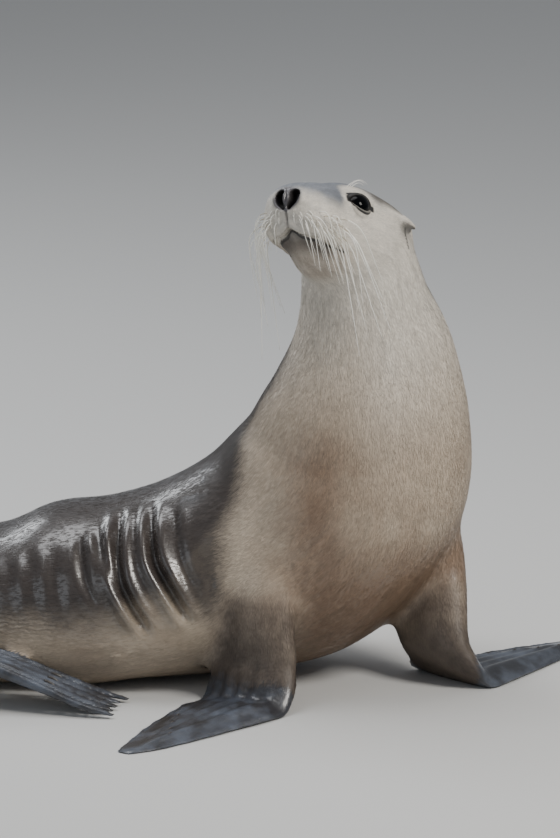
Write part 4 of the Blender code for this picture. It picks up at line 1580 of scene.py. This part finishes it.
@dataclass(frozen=True)
class PeltFinish:
    """How the hide and the hair on it are finished, with the same markings on both."""

    colours: PeltColours = field(default_factory=PeltColours)

    def markings_group(self) -> None:
        """Makes the group that turns the markings into colour, with edges as ragged as hair."""
        tints = {name: ("Color", (*value, 1.0)) for name, value in vars(self.colours).items()}
        outputs = {"Colour": "Color", "Bare": "Float", "Wet": "Float", "Height": "Float", "Tone": "Float"}
        wiring, given, out = new_group("markings", tints, outputs)
        hair = wiring.add("Group", node_tree=bpy.data.node_groups["hair_grain"]).outputs
        leather = wiring.add("Group", node_tree=bpy.data.node_groups["leather_grain"]).outputs
        ragged = wiring.times(hair["Tone"], 0.9)
        place = wiring.place()
        patch = wiring.noise(place, 16.0, 5.0, 0.62)
        mottle = wiring.sum("SUBTRACT", patch, 0.5)

        def share(mark: Mark, ragged_by: float, patch_by: float) -> NodeSocket:
            """Gives a marking's share with its edge broken up.

            Args:
                mark: The marking.
                ragged_by: How far the hair breaks up its edge.
                patch_by: How far it is patchy there.

            Returns:
                The socket of the share.
            """
            value = wiring.kept(mark.value)
            rough = wiring.sum("ADD", wiring.times(ragged, ragged_by), wiring.times(mottle, patch_by))
            band = wiring.times(value, wiring.sum("SUBTRACT", 1.0, value), 4.0)
            return wiring.sum("ADD", value, wiring.times(rough, band), clamp=True)

        colour = given["cream"]
        for mark, ragged_by, patch_by in (
            (Mark.TAN, 0.25, 0.9),
            (Mark.BRIGHT, 0.25, 0.5),
            (Mark.SILVER, 0.4, 0.4),
            (Mark.BACK, 0.55, 1.1),
        ):
            colour = wiring.mix(share(mark, ragged_by, patch_by), colour, given[mark.value])
        # The pale blue-grey patch on the back, broken up by noise.
        pale_patched = wiring.times(wiring.kept("scuff"), wiring.span(patch, 0.46, 0.56, 0.0, 1.0), 0.8)
        colour = wiring.mix(pale_patched, colour, given["scuff"])
        colour = wiring.toned(colour, wiring.span(hair["Tone"], -0.5, 0.5, 0.72, 1.28))
        wet = wiring.kept("wet")
        colour = wiring.mix(wet, colour, wiring.toned(colour, 0.78, 1.1))
        bare, nose = share(Mark.BARE, 1.5, 0.8), wiring.kept("nose")
        # Random paler patches on the bare skin, in a blue-grey that is partly painted sky reflection.
        worn = wiring.span(leather["Tone"], 0.42, 0.66, 0.0, 1.0)
        colour = wiring.mix(bare, colour, wiring.mix(worn, given["leather"], given["leather_worn"]))
        colour = wiring.mix(nose, colour, given["nose"])
        colour = wiring.mix(wiring.kept("dark"), colour, given["dark"])
        skinned = wiring.sum("MAXIMUM", bare, nose)
        feeds = {"Vector": place, "Scale": 48.0, "Distortion": 5.0, "Detail": 2.0, "Detail Scale": 1.5}
        wave = wiring.add("TexWave", feeds, bands_direction="Z").outputs["Fac"]
        furred = wiring.sum("ADD", hair["Height"], wiring.times(wave, wiring.kept("ripple"), 1.3))
        height = wiring.between(skinned, furred, leather["Height"])
        feeds = {"Colour": colour, "Bare": skinned, "Wet": wet, "Height": height, "Tone": hair["Tone"]}
        wiring.feed(out, feeds)

    def start(self, name: str) -> tuple[Material, Wiring, bpy_prop_collection, Node]:
        """Starts a material with the markings in it.

        Args:
            name: The material's name.

        Returns:
            The material, its wiring, the markings' sockets and its shader.
        """
        material, wiring, shader = new_material(name)
        if "markings" not in bpy.data.node_groups:
            strand_group()
            leather_group()
            self.markings_group()
        marks = wiring.add("Group", node_tree=bpy.data.node_groups["markings"]).outputs
        return material, wiring, marks, shader

    def skin(self) -> Material:
        """Gives the hide's finish.

        Returns:
            The material.
        """
        material, wiring, marks, shader = self.start("hide")
        dry = wiring.span(marks["Tone"], -0.5, 0.5, 0.62, 0.46)
        damp = wiring.span(marks["Tone"], -0.5, 0.5, 0.34, 0.20)
        rough = wiring.between(marks["Wet"], dry, damp)
        rough = wiring.between(marks["Bare"], rough, wiring.span(marks["Height"], 0.2, 0.8, 0.26, 0.42))
        film = wiring.sum("MAXIMUM", wiring.times(marks["Wet"], 0.80), wiring.times(marks["Bare"], 0.5))
        bump = wiring.add("Bump", {"Height": marks["Height"], "Strength": 0.55, "Distance": 0.0012})
        feeds = {"Base Color": marks["Colour"], "Roughness": rough, "Normal": bump.outputs[0]}
        wiring.feed(shader, feeds | {"Coat Weight": film, "Coat Roughness": 0.17})
        return material

    def coat(self) -> Material:
        """Gives the finish of the hair that stands clear of the hide.

        Returns:
            The material.
        """
        material, wiring, marks, shader = self.start("coat")
        colour = wiring.toned(marks["Colour"], wiring.span(wiring.kept("tuft"), 0.0, 1.0, 0.86, 1.16))
        rough = wiring.between(marks["Wet"], 0.56, 0.42)
        wiring.feed(shader, {"Base Color": colour, "Roughness": rough})
        return material


@dataclass(frozen=True)
class CoatPart:
    """One piece of the coat: where it grows and how big its tufts are.

    Low and high are how far along the x axis it starts and ends.
    """

    name: str
    slot: str
    regions: tuple[Region, ...]
    count: int
    length: float
    width: float
    rise: float
    low: float = -1.0
    high: float = 2.0


COAT_PARTS = (
    CoatPart("coat_head", "pale_fur", (Region.HEAD, Region.EAR), 52000, 0.0052, 0.0007, 0.0006),
    CoatPart("coat_neck_and_chest", "chest_fur", (Region.TRUNK,), 62000, 0.0100, 0.0012, 0.0010, 0.16, 1.0),
    CoatPart("coat_back_and_belly", "back_fur", (Region.TRUNK,), 62000, 0.0110, 0.0013, 0.0010, -1.0, 0.16),
    CoatPart("coat_limbs", "limb_fur", ARMS + LEGS, 42000, 0.0080, 0.0011, 0.0010),
)
# A tuft is five points, as a blade with two at its foot, two at its middle and one at its
# tip, and this is where they are on its patch of the unwrap.
TUFT = 5
TUFT_PATCH = 0.0015 * np.array([[-0.8, -1.0], [0.8, -1.0], [0.9, 0.2], [-0.9, 0.2], [0.0, 1.0]])


def tuft_mesh(name: str, blades: Array) -> Mesh:
    """Makes a mesh of tufts, each a quad with a pointed end.

    Args:
        name: The mesh's name.
        blades: Each tuft's points: two at its foot, two at its middle, and its tip.

    Returns:
        The mesh.
    """
    tufts = np.arange(len(blades))
    start = TUFT * tufts[:, None]
    corners = np.concatenate([(start + [1, 0, 3, 2]).ravel(), (start + [2, 3, 4]).ravel()])
    starts = np.concatenate([4 * tufts, 4 * len(tufts) + 3 * tufts])
    mesh = bpy.data.meshes.new(name)
    mesh.vertices.add(TUFT * len(tufts))
    mesh.loops.add(len(corners))
    mesh.polygons.add(len(starts))
    mesh.vertices.foreach_set("co", blades.astype(np.float32).ravel())
    mesh.loops.foreach_set("vertex_index", corners.astype(np.int32))
    mesh.polygons.foreach_set("loop_start", starts.astype(np.int32))
    mesh.update(calc_edges=True)
    return mesh


@dataclass
class Coat:
    """The short hair that lies over the hide, as small flat tufts."""

    pelt: Pelt
    tree: BVHTree
    finish: PeltFinish
    seed: int = 7

    def build(self) -> list[Object]:
        """Makes each piece of the coat.

        Returns:
            The pieces.
        """
        material = self.finish.coat()
        chances = [np.random.default_rng(self.seed + i) for i in range(len(COAT_PARTS))]
        return [self.grow(part, material, chance) for part, chance in zip(COAT_PARTS, chances)]

    def roots(self, part: CoatPart, chance: np.random.Generator) -> tuple[Array, Array]:
        """Picks where the tufts grow.

        Args:
            part: The piece of the coat.
            chance: The source of chance.

        Returns:
            The triangle of each root, and its shares of that triangle's corners.
        """
        pelt = self.pelt
        corners = pelt.points[pelt.triangles]
        sides = np.cross(corners[:, 1] - corners[:, 0], corners[:, 2] - corners[:, 0])
        area = 0.5 * np.linalg.norm(sides, axis=1)
        first = pelt.triangles[:, 0]
        wanted = np.isin(pelt.region[first], [region.value for region in part.regions])
        x = corners[:, :, 0].mean(1)
        wanted &= (x > part.low) & (x < part.high)
        clear = (1 - pelt.marks[Mark.BARE]) * (1 - pelt.marks[Mark.NOSE]) * (1 - pelt.marks[Mark.DARK])
        clear = clear[pelt.triangles].min(1) * (pelt.outside_eye[pelt.triangles].min(1) > 0.002)
        clear *= corners[:, :, 2].min(1) > 0.004
        weight = area * wanted * np.where(clear > 0.35, clear, 0.0)
        weight *= 1 - 0.84 * pelt.marks[Mark.WET][pelt.triangles].mean(1)
        chosen = chance.choice(len(weight), part.count, p=weight / weight.sum())
        shares = chance.dirichlet((1.0, 1.0, 1.0), part.count)
        return chosen, shares

    def grow(self, part: CoatPart, material: Material, chance: np.random.Generator) -> Object:
        """Makes one piece of the coat.

        Args:
            part: The piece of the coat.
            material: What it is finished in.
            chance: The source of chance.

        Returns:
            The new object.
        """
        pelt, count = self.pelt, part.count
        chosen, shares = self.roots(part, chance)
        corner = pelt.triangles[chosen]

        def at(values: Array) -> Array:
            """Reads what the hide keeps at each root."""
            held = values[corner]
            return (held * (shares if held.ndim == 2 else shares[..., None])).sum(1)

        root, normal = at(pelt.points), unit(at(pelt.normals))
        way = unit(at(pelt.lie_way))
        side = np.cross(normal, way)
        turn = chance.normal(0.0, 0.14, count)[:, None]
        way = unit(way + turn * side)
        side = np.cross(normal, way)
        length = part.length * chance.uniform(0.65, 1.25, count)[:, None]
        if Region.HEAD in part.regions:
            length *= 0.45 + 0.75 * smooth(-(root - pelt.head.tip) @ pelt.head.forward, 0.02, 0.16)[:, None]
        width = part.width * chance.uniform(0.7, 1.25, count)[:, None]
        rise = part.rise * chance.uniform(0.35, 1.0, count)[:, None]
        rise *= 1 - 0.65 * at(pelt.marks[Mark.WET])[:, None]
        low = root - 0.0003 * normal
        middle, middle_normal = self.press(root + 0.55 * length * way, 0.75 * rise)
        tip, tip_normal = self.press(root + length * way, rise)
        foot, half = 0.4 * width * side, 0.5 * width * side
        blades = np.stack([low - foot, low + foot, middle + half, middle - half, tip], axis=1)
        blades[..., 2] = np.maximum(blades[..., 2], HAIR_CLEAR)
        mesh = tuft_mesh(part.name, blades)
        for mark in Mark:
            keep_share(mesh, mark.value, np.repeat(at(pelt.marks[mark]), TUFT))
        keep_share(mesh, "grain", np.repeat(at(pelt.grain), TUFT, axis=0))
        keep_share(mesh, "tuft", np.repeat(chance.uniform(0.0, 1.0, count), TUFT))
        self.map_patches(mesh, pelt.wrap[corner[:, 0]], chance)
        made = new_piece(part.name, mesh, material)
        shaded = np.stack([normal, normal, middle_normal, middle_normal, tip_normal], axis=1).reshape(-1, 3)
        mesh.normals_split_custom_set_from_vertices(shaded.tolist())
        return made

    def press(self, places: Array, rise: Array) -> tuple[Array, Array]:
        """Sets places by their rise above the hide, and gives the hide's normals there.

        Args:
            places: Places near the hide, one per row.
            rise: How far above the hide each is to stand.

        Returns:
            The places on or above the hide, and the normals.
        """
        found = [self.tree.find_nearest(Vector(place)) for place in places]
        spots = np.array([spot for spot, _, _, _ in found])
        corners = self.pelt.triangles[[index for _, _, index, _ in found]]
        normals = unit(self.pelt.normals[corners].mean(1))
        return spots + rise * normals, normals

    def map_patches(self, mesh: Mesh, wrap: Array, chance: np.random.Generator) -> None:
        """Gives each tuft its patch, at its root's place on the hide's own unwrap.

        Args:
            mesh: The piece's mesh.
            wrap: Each root's place along and round the hide.
            chance: The source of chance.
        """
        low, high = np.quantile(wrap, 0.001, axis=0), np.quantile(wrap, 0.999, axis=0)
        place = np.clip((wrap - low) / (high - low), 0.0, 1.0)
        place = 0.004 + 0.990 * place + chance.uniform(-0.001, 0.001, place.shape)
        spread = np.clip(place[:, None] + TUFT_PATCH, 0.0, 1.0).reshape(-1, 2)
        index = np.empty(len(mesh.loops), np.int32)
        mesh.loops.foreach_get("vertex_index", index)
        mesh.uv_layers.new(name="OFBake").data.foreach_set("uv", spread[index].astype(np.float32).ravel())


# The eye's colours from the pupil's middle outwards.
EYE_STOPS = (
    (0.0, (0.001, 0.001, 0.0015)),
    (0.38, (0.001, 0.001, 0.0015)),
    (0.46, (0.004, 0.003, 0.003)),
    (0.62, (0.008, 0.0055, 0.0045)),
    (0.74, (0.003, 0.002, 0.002)),
    (1.0, (0.05, 0.042, 0.04)),
)


@dataclass
class Eyeballs:
    """The two eyes: dark and wet, with a dome over the pupil."""

    head: HeadFrame
    radius: float = 0.0199
    dome: float = 0.0008

    def finish(self) -> Material:
        """Gives the eye's finish: black pupil, dark brown iris and a darker rim.

        Returns:
            The material.
        """
        material, wiring, shader = new_material("eyeball")
        ramp = wiring.add("ValToRGB", {"Fac": wiring.kept("from_pupil")})
        stops = ramp.color_ramp.elements
        for place, colour in EYE_STOPS:
            stop = stops.new(place) if 0.0 < place < 1.0 else stops[-int(place)]
            stop.color = (*colour, 1.0)
        fibre = wiring.noise(wiring.place(), 700.0, 3.0)
        colour = wiring.toned(ramp.outputs[0], wiring.span(fibre, 0.3, 0.7, 0.7, 1.35))
        wiring.feed(shader, {"Base Color": colour, "Roughness": 0.06, "Specular IOR Level": 0.10})
        return material

    def build(self) -> list[Object]:
        """Makes both eyes in place of the plain ones.

        Returns:
            The two pieces.
        """
        material = self.finish()
        made = []
        for side in Side:
            middle, out, _, _ = Lids(self.head, side).axes()
            ball = bmesh.new()
            bmesh.ops.create_uvsphere(ball, u_segments=56, v_segments=40, radius=1.0)
            mesh = bpy.data.meshes.new("eyeball_" + side.name.lower())
            ball.to_mesh(mesh)
            ball.free()
            ways = unit(points_of(mesh))
            angle = np.arccos(np.clip(ways @ out, -1, 1))
            reach = self.radius + self.dome * smooth(angle, 0.75, 0.35)
            put_points(mesh, middle + ways * reach[:, None])
            keep_share(mesh, "from_pupil", np.clip(angle / 1.5, 0, 1))
            piece = new_piece(mesh.name, mesh, material)
            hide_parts("eye_" + side.name.lower())
            made.append(piece)
        return made


def tube(line: Array, radii: Array, around: int) -> Shell:
    """Makes a round tapered tube along a line.

    Args:
        line: The middle of each ring.
        radii: Each ring's radius.
        around: How many points a ring has.

    Returns:
        The points and the faces.
    """
    ahead = unit(line[-1] - line[0])
    across = unit(np.cross(ahead, ASKEW))
    return closed_loft(line, radii, radii, across, around)


def joined_tubes(name: str, tubes: Sequence[Shell], steps: int, around: int) -> Mesh:
    """Joins tubes as one mesh, which keeps how far along its tube each point is.

    Args:
        name: The mesh's name.
        tubes: Points and faces of each tube.
        steps: How many rings each tube has.
        around: How many points each ring has.

    Returns:
        The mesh, with that share of the way along under the name "share".
    """
    mesh = new_mesh(name, *join_shells(tubes))
    keep_share(mesh, "share", np.tile(np.repeat(np.linspace(0, 1, steps), around), len(tubes)))
    return mesh


@dataclass
class Whiskers:
    """The long stiff whiskers on the upper lip and the short ones above the eyes."""

    head: HeadFrame
    tree: BVHTree
    seed: int = 21
    # How high each row of the upper lip is, and how many it has.
    rows: tuple[tuple[float, int], ...] = (
        (-0.0145, 6),
        (-0.0195, 7),
        (-0.0245, 8),
        (-0.0295, 8),
        (-0.0345, 7),
    )
    # For a share of the way back along the pad, how far forward and outward the skin is.
    pad: tuple[tuple[float, float, float], ...] = (
        (0.0, 0.0, 0.011),
        (0.2, -0.003, 0.021),
        (0.4, -0.010, 0.032),
        (0.6, -0.022, 0.041),
        (1.0, -0.049, 0.046),
    )
    radius: float = 0.00088
    longest: float = 0.200
    brows: int = 3
    brow_radius: float = 0.00042
    brow_length: float = 0.042
    steps: int = 14
    around: int = 6

    def finish(self) -> Material:
        """Gives the whiskers' finish: cream, darker at the root and clearer at the tip.

        Returns:
            The material.
        """
        material, wiring, shader = new_material("whisker")
        band = wiring.noise(wiring.place(), 60.0, 2.0)
        uneven = wiring.span(band, 0.3, 0.7, -0.15, 0.15)
        along_it = wiring.sum("ADD", wiring.kept("share"), uneven, clamp=True)
        pale = wiring.span(along_it, 0.0, 0.12, 0.0, 1.0)
        colour = wiring.mix(pale, (0.50, 0.44, 0.34, 1.0), (0.95, 0.93, 0.86, 1.0))
        wiring.feed(shader, {"Base Color": colour, "Roughness": wiring.span(band, 0.3, 0.7, 0.28, 0.42)})
        return material

    def root(self, side: Side, back: float, up: float) -> Array:
        """Finds a root on the hide, a share of the way back along the whisker pad.

        Args:
            side: The side of the face.
            back: The share of the way back.
            up: How far above the nose.

        Returns:
            The place on the hide.
        """
        shares, forwards, outs = zip(*self.pad)
        out = np.interp(back, shares, outs) * side.value
        return self.on_hide(np.interp(back, shares, forwards), out, up)

    def on_hide(self, forward: float, left: float, up: float) -> Array:
        """Finds the hide's nearest place to one given by the head's axes."""
        return np.array(self.tree.find_nearest(Vector(self.head.world(forward, left, up)))[0])

    def strand(
        self, root: Array, way: Array, reach: float, sweep: float, length: float, radius: float
    ) -> Shell:
        """Makes one whisker, which leaves stiffly and then hangs.

        Args:
            root: Where it grows.
            way: Which way it leaves.
            reach: How far it runs before it hangs, as a share of its length.
            sweep: How far back it hangs.
            length: How long it is.
            radius: How thick it is at the root, as a radius.

        Returns:
            Its points and faces.
        """
        t = np.linspace(0.0, 1.0, self.steps)
        hang = smooth(t, 0.0, 2.0 * reach)[:, None]
        droop = DOWN - sweep * self.head.forward
        ways = unit(way * (1 - 0.93 * hang) + droop * hang)
        line = root - 0.003 * way + length / self.steps * (np.cumsum(ways, axis=0) - ways[0])
        return tube(line, radius * (1 - 0.72 * t**1.5), self.around)

    def build(self) -> Object:
        """Grows all the whiskers as one piece.

        Returns:
            The piece.
        """
        chance = np.random.default_rng(self.seed)
        head = self.head
        shells = []
        for side in Side:
            out = head.left * side.value
            for row, (up, count) in enumerate(self.rows):
                for i in range(count):
                    back = i / (count - 1)
                    share = back + chance.normal(0, 0.022)
                    root = self.root(side, share, up - 0.004 * back + chance.normal(0, 0.0008))
                    way = (0.60 - 0.75 * back) * head.forward + (0.45 + 0.30 * back) * out
                    way = unit(way + (0.02 - 0.12 * row) * head.up + chance.normal(0, 0.10, 3))
                    length = self.longest * (0.16 + 0.84 * back) * chance.uniform(0.55, 1.05)
                    reach, sweep = chance.uniform(0.12, 0.30), chance.uniform(0.10, 0.95)
                    radius = self.radius * (0.55 + 0.45 * back)
                    shells.append(self.strand(root, way, reach, sweep, length, radius))
            for i in range(self.brows):
                root = self.on_hide(-0.098 - 0.006 * i, 0.034 * side.value, 0.052)
                way = unit(0.75 * head.up + 0.55 * out - 0.25 * head.forward + chance.normal(0, 0.08, 3))
                length = self.brow_length - 0.008 * i
                shells.append(self.strand(root, way, 0.75, 0.6, length, self.brow_radius))
        mesh = joined_tubes("whiskers", shells, self.steps, self.around)
        return new_piece("whiskers", mesh, self.finish())


@dataclass
class Claws:
    """The small nails: on the middle toes behind, and mere pegs on the fore flippers."""

    tree: BVHTree
    length: float = 0.017
    radius: float = 0.0026
    steps: int = 7
    around: int = 8
    along_toe: float = 0.66
    along_finger: float = 0.74
    peg: float = 0.45

    def finish(self) -> Material:
        """Gives the horn's finish: dark, streaked, and paler at the tip.

        Returns:
            The material.
        """
        material, wiring, shader = new_material("claw")
        streak = wiring.noise(wiring.place(), 300.0, 3.0)
        pale = wiring.times(wiring.kept("share"), streak)
        colour = wiring.mix(pale, (0.028, 0.024, 0.022, 1.0), (0.20, 0.17, 0.14, 1.0))
        wiring.feed(shader, {"Base Color": colour, "Roughness": wiring.span(streak, 0.3, 0.7, 0.25, 0.45)})
        return material

    def nail(self, above: Array, ahead: Array, size: float) -> Shell:
        """Sets one nail on the skin below a place, pointing ahead.

        Args:
            above: A place above the skin.
            ahead: Which way it points.
            size: Its size, as a share of a full one.

        Returns:
            Its points and faces.
        """
        root = np.array(self.tree.ray_cast(Vector(above), Vector(DOWN))[0])
        t = np.linspace(0, 1, self.steps)
        lift = np.stack([0 * t, 0 * t, 0.0012 * np.sin(np.pi * t) - 0.0010], axis=1)
        line = root + size * self.length * t[:, None] * ahead + lift
        line[:, 2] = np.maximum(line[:, 2], 0.003)
        return tube(line, size * self.radius * (1 - 0.85 * t**1.6), self.around)

    def build(self) -> Object:
        """Makes all the nails as one piece.

        Returns:
            The piece.
        """
        shells = []
        for toes in HIND_TOES.values():
            for share in toes.across[1:4]:
                centres = toes.rail(share, 0.0)[0]
                at = int(self.along_toe * len(centres))
                ahead = unit(centres[at + 2] - centres[at])
                shells.append(self.nail(centres[at] + [0, 0, 0.04], ahead, 1.0))
        for flipper in FLIPPER_PLANS:
            ways = np.array([flipper.reach, flipper.lead])
            for ends in flipper.fingers[:4]:
                start, run = np.array(ends[:2]), np.subtract(ends[2:], ends[:2])
                above = np.array(flipper.wrist) + (start + self.along_finger * run) @ ways + [0, 0, 0.08]
                shells.append(self.nail(above, unit(run @ ways), self.peg))
        mesh = joined_tubes("claws", shells, self.steps, self.around)
        return new_piece("claws", mesh, self.finish())


@dataclass
class Studio:
    """A plain pale floor, soft lights and the camera."""

    head: HeadFrame
    distance: float = 12.0
    elevation: float = 14.0
    aim_from_nose: Place = (-0.0070, 0.1130, -0.3310)
    view_height: float = 1.1324
    sensor: float = 36.0
    floor_half: float = 60.0

    def floor(self) -> None:
        """Lays the floor under the animal."""
        corners = self.floor_half * np.array([(-1, -1, 0), (1, -1, 0), (1, 1, 0), (-1, 1, 0)])
        mesh = new_mesh("floor", corners, [(0, 1, 2, 3)])
        material, wiring, shader = new_material("pale_floor")
        wiring.feed(shader, {"Base Color": (0.60, 0.60, 0.59, 1.0), "Roughness": 0.75})
        mesh.materials.append(material)
        made = new_object("floor", mesh)

    def soft_light(
        self, name: str, place: Place, aim: Place, size: float, power: float, colour: Colour
    ) -> None:
        """Hangs one square soft light.

        Args:
            name: What it is called.
            place: Where it hangs.
            aim: What it points at.
            size: The length of its side.
            power: Its power in watts.
            colour: The colour of its light.
        """
        lamp = bpy.data.lights.new(name, "AREA")
        lamp.shape, lamp.size, lamp.energy, lamp.color = "SQUARE", size, power, colour
        made = new_object(name, lamp)
        made.location = place
        made.rotation_euler = (Vector(aim) - Vector(place)).to_track_quat("-Z", "Y").to_euler()

    def lights(self) -> None:
        """Hangs a key from the right, a weak fill from the left, a top light and a rim light."""
        self.soft_light("key", (2.3, -1.5, 2.6), (0.1, 0.0, 0.35), 1.1, 95.0, (1.0, 0.96, 0.90))
        self.soft_light("fill", (-2.6, -2.4, 1.3), (0.0, 0.0, 0.3), 2.2, 16.0, (0.86, 0.93, 1.0))
        self.soft_light("top", (-0.5, 0.5, 2.8), (-0.1, 0.0, 0.2), 1.6, 42.0, (0.97, 0.98, 1.0))
        self.soft_light("rim", (-1.8, 2.4, 1.9), (0.1, 0.0, 0.4), 1.2, 26.0, (0.94, 0.97, 1.0))
        world = bpy.data.worlds.new("studio")
        world.use_nodes = True
        back = world.node_tree.nodes["Background"]
        back.inputs["Color"].default_value = (0.80, 0.84, 0.90, 1.0)
        back.inputs["Strength"].default_value = 0.32
        bpy.context.scene.world = world

    def camera(self) -> None:
        """Sets the camera low in front, far off with a long lens."""
        tilt = math.radians(self.elevation)
        aim = self.head.tip + np.array(self.aim_from_nose)
        away = np.array([0.0, -math.cos(tilt), math.sin(tilt)])
        lens = bpy.data.cameras.new("camera")
        lens.sensor_width = self.sensor
        lens.lens = self.sensor * self.distance / self.view_height
        lens.clip_end = 200.0
        made = new_object("camera", lens)
        made.location = aim + self.distance * away
        made.rotation_euler = (math.pi / 2 - tilt, 0.0, 0.0)
        bpy.context.scene.camera = made


def main() -> None:
    """Builds the animal piece by piece, and then the studio round it."""
    logging.basicConfig(level=logging.INFO, format="%(name)s: %(message)s")
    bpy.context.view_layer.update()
    head = HeadFrame.from_eyes()
    finish = PeltFinish()
    hide = Hide(head, LongAxis(head))
    skin = hide.build(finish)
    tree = BVHTree.FromPolygons(hide.pelt.points.tolist(), hide.pelt.triangles.tolist())
    pieces = [skin, *Eyeballs(head).build(), Whiskers(head, tree).build(), Claws(tree).build()]
    pieces += Coat(hide.pelt, tree, finish).build()
    for piece in pieces:
        LOG.info("%s: %d points, %d faces", piece.name, len(piece.data.vertices), len(piece.data.polygons))
    studio = Studio(head)
    studio.floor()
    studio.lights()
    studio.camera()


if __name__ == "__main__":
    main()
